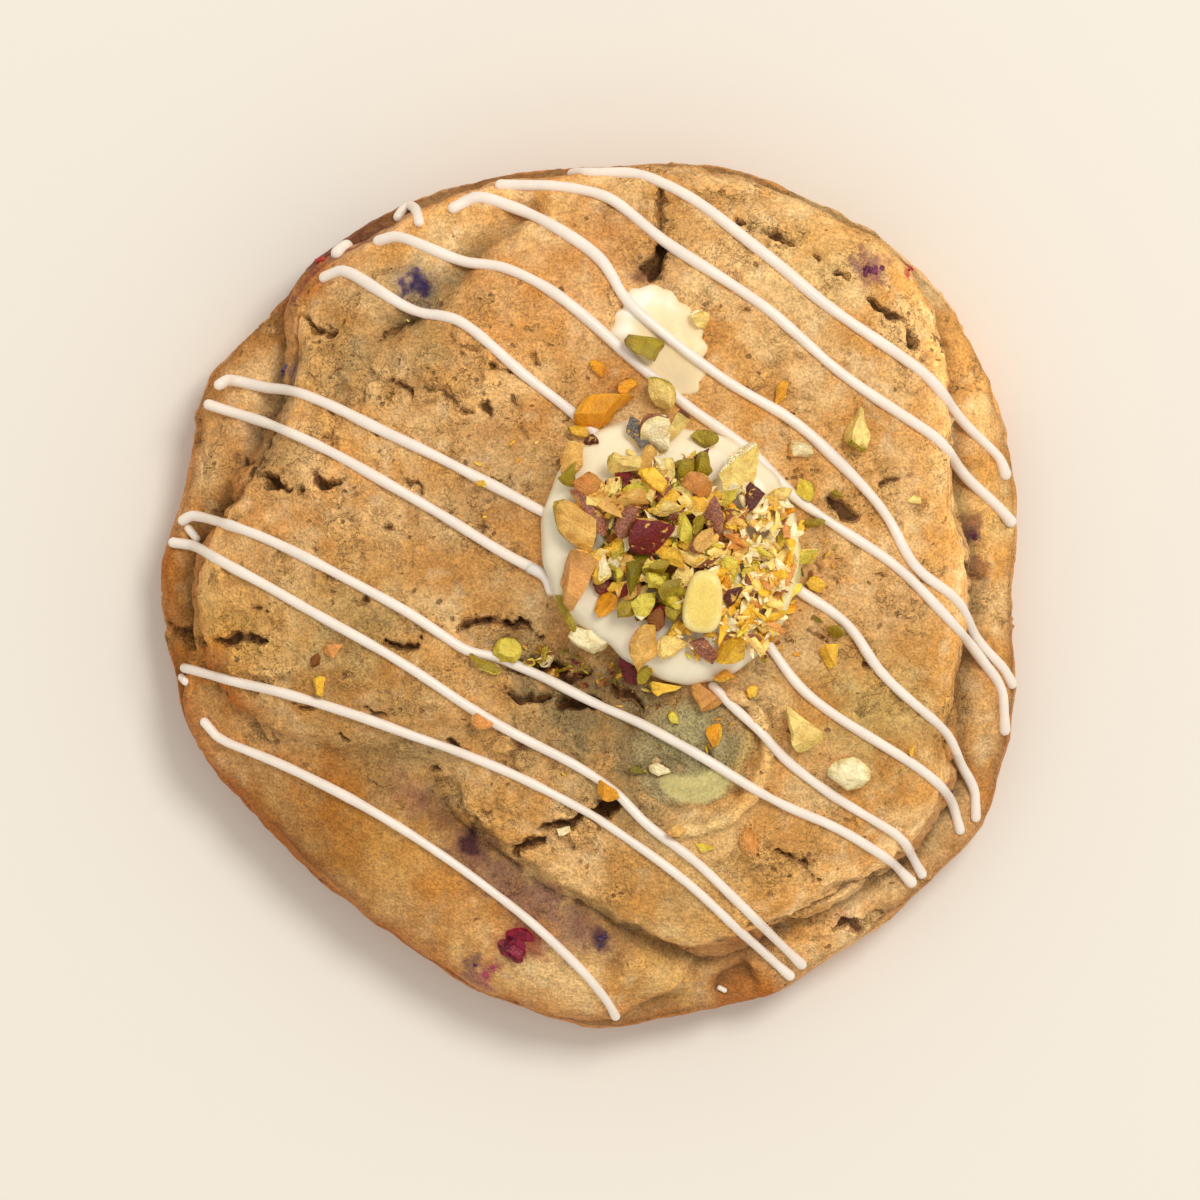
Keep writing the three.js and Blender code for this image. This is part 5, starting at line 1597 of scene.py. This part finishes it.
def half_kernel(length, width):
    """A whole half kernel: a thick, smooth slab with rounded edges, broader at one end."""
    angles = angles_round(40)
    outline = 1 - 0.1 * np.cos(angles) + 0.05 * np.cos(2 * angles + 0.9) + 0.03 * np.cos(3 * angles)
    x = length / 2 * np.sign(np.cos(angles)) * np.abs(np.cos(angles)) ** 0.76
    y = width / 2 * np.sign(np.sin(angles)) * np.abs(np.sin(angles)) ** 0.76 * outline
    side = [
        (0.8, -0.5), (0.95, -0.35), (1.0, 0), (0.98, 0.2), (0.92, 0.36), (0.83, 0.44), (0.7, 0.47),
        (0.5, 0.47), (0.25, 0.47),
    ]
    rings = [ring_at(x * part, y * part, width * 0.5 * up) for part, up in side]
    points, faces = loft(rings, (0, 0, -width * 0.25), (0, 0, width * 0.235))
    points += 0.07 * noise_vectors(points, 1.9, 200)
    return points, faces


# ---------- berries ----------

# Berry bits baked in: x, y, length, width, angle, colour, how many lumps.
BERRIES = [
    (-8.6, -42.0, 2.8, 4.5, 60, "#7a0a26", 7), (0.8, -41.2, 2.6, 1.5, 80, "#3d1c3e", 4),
    (-12.4, -45.0, 1.8, 1.2, 20, "#b0485c", 3), (-14.2, -44.4, 1.6, 0.7, -30, "#5b2a52", 2),
    (33.4, 39.0, 3.8, 1.6, 20, "#7c3650", 6),
    (38.0, 39.0, 0.9, 0.8, 0, "#b3242c", 2), (45.8, 6.6, 2.6, 1.0, -75, "#5a2440", 4),
    (-33.2, 39.8, 2.6, 1.6, 20, "#b83a34", 5), (42.5, -23.4, 1.4, 1.1, 0, "#6a3760", 3),
    (-37.0, 27.0, 2.2, 0.9, 80, "#54406a", 3),
]


def make_berries(ground):
    """The berry bits: each a few small lumps, sunk in the dough."""
    random = np.random.default_rng(5)
    pieces = Pieces()
    for x, y, length, width, degrees, code, lumps in BERRIES:
        turn = math.radians(degrees)
        for _ in range(lumps):
            along, aside = random.uniform(-0.34, 0.34) * length, random.uniform(-0.3, 0.3) * width
            size = width * random.uniform(0.42, 0.66)
            points, faces, _, _ = chopped(random, size * 1.3, size, size * 0.8, 3, 2)
            points = turned(points, random, random.uniform(0, 360), 0.6)
            px = x + along * math.cos(turn) - aside * math.sin(turn)
            py = y + along * math.sin(turn) + aside * math.cos(turn)
            z = max(ground.below(px, py)[0] - size * 0.2, 5.0)
            tint = np.array(linear(code)[:3]) * random.uniform(0.5, 1.3)
            pieces.add(points + (px, py, z), faces, cornered(faces, np.tile(tint, (len(points), 1))))
    return pieces.build("berry_bits", berry_flesh())


# ---------- put together ----------


def keep(piece, slot, *nodes):
    """Settles which body a piece moves with and which nodes it stands in for. Its slot is not used."""
    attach(piece, "root")
    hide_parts(*nodes)
    return piece


dough = keep(make_dough(), "dough", "cookie")
chunk = keep(make_chunk(), "white_chocolate", "white_chunk")
wafer = keep(make_wafer(), "green_chocolate", "pistachio_wafer")
sunk = Ground([dough, chunk, wafer])
drizzle = keep(make_drizzle(sunk), "white_chocolate", "cookie", "white_chunk", "pistachio_wafer")
button = keep(make_button(sunk), "white_chocolate", "white_button")
laden = Ground([dough, chunk, wafer, drizzle, button])
heap_pieces, half_pieces, loose_pieces, fine_pieces, stray_pieces = make_nuts(laden, sunk)
kernel_finish = chopped_kernel("roasted_pistachio", 0.36, 0.2, 0.68)
whole_finish = chopped_kernel("whole_roasted_pistachio", 0.4, 0.03, 0.25)
keep(half_pieces.build("half_kernel", whole_finish), "pistachio", "pistachio_heap")
keep(heap_pieces.build("heap_nuts", kernel_finish), "pistachio", "pistachio_heap")
keep(fine_pieces.build("heap_crumbs", kernel_finish), "pistachio", "pistachio_heap")
scattered_nuts = loose_pieces.build("scattered_nuts", kernel_finish)
keep(scattered_nuts, "pistachio", "cookie", "white_chunk", "pistachio_wafer")
keep(stray_pieces.build("stray_crumbs", kernel_finish), "pistachio", "cookie")
keep(make_berries(sunk), "dough", "cookie")

# ---------- floor, light and camera ----------


def studio_floor():
    """Smooth cream card: matt, with a faint fibre."""
    material, add, place = new_material("cream_card")
    fibre = add(NOISE, {"Vector": place, "Scale": 1 / 0.5, "Detail": 2.0})
    surface(add, linear("#ebe4d8"), fibre, 0.05, 0.9, 1.5, strength=0.1)
    mesh = bpy.data.meshes.new("floor")
    half = 2.0
    corners = [(-half, -half, 0), (half, -half, 0), (half, half, 0), (-half, half, 0)]
    mesh.from_pydata(corners, [], [(0, 1, 2, 3)])
    mesh.materials.append(material)
    return add_object("floor", mesh)


studio_floor()

SOFT_WHITE = linear("#fffdf9")
WINDOW_PLACE = Vector((0.56, 0.62, 1.5))
WINDOW_AIM = Vector((0, 0, 0.01))
window_data = bpy.data.lights.new("window", "AREA")
window_data.shape = "DISK"
window_data.size = 0.62
window_data.energy = 13.5
window_data.color = SOFT_WHITE[:3]
window = add_object("window", window_data)
window.location = WINDOW_PLACE
window.rotation_euler = (WINDOW_AIM - WINDOW_PLACE).to_track_quat("-Z", "Y").to_euler()
world = bpy.data.worlds.new("studio")
world.use_nodes = True
world.node_tree.nodes["Background"].inputs["Color"].default_value = SOFT_WHITE
world.node_tree.nodes["Background"].inputs["Strength"].default_value = 0.72
bpy.context.scene.world = world

FRAME_WIDTH = 144 * MM  # what the picture takes in at the frame's level
FRAME_LEVEL = 12 * MM
CAMERA_HEIGHT = 2.0
# the photo's middle lies a little right of and below the dough's drawn middle
PICTURE_MIDDLE = (0.84, -0.6)
camera_data = bpy.data.cameras.new("camera")
camera_data.sensor_width = 36
camera_data.lens = 36 * (CAMERA_HEIGHT - FRAME_LEVEL) / FRAME_WIDTH
camera_data.clip_end = 20
camera = add_object("camera", camera_data)
camera.location = (*((PICTURE_MIDDLE - DRAWN_MIDDLE[:2]) * MM), CAMERA_HEIGHT)
bpy.context.scene.camera = camera
bpy.context.scene.view_settings.view_transform = "Standard"
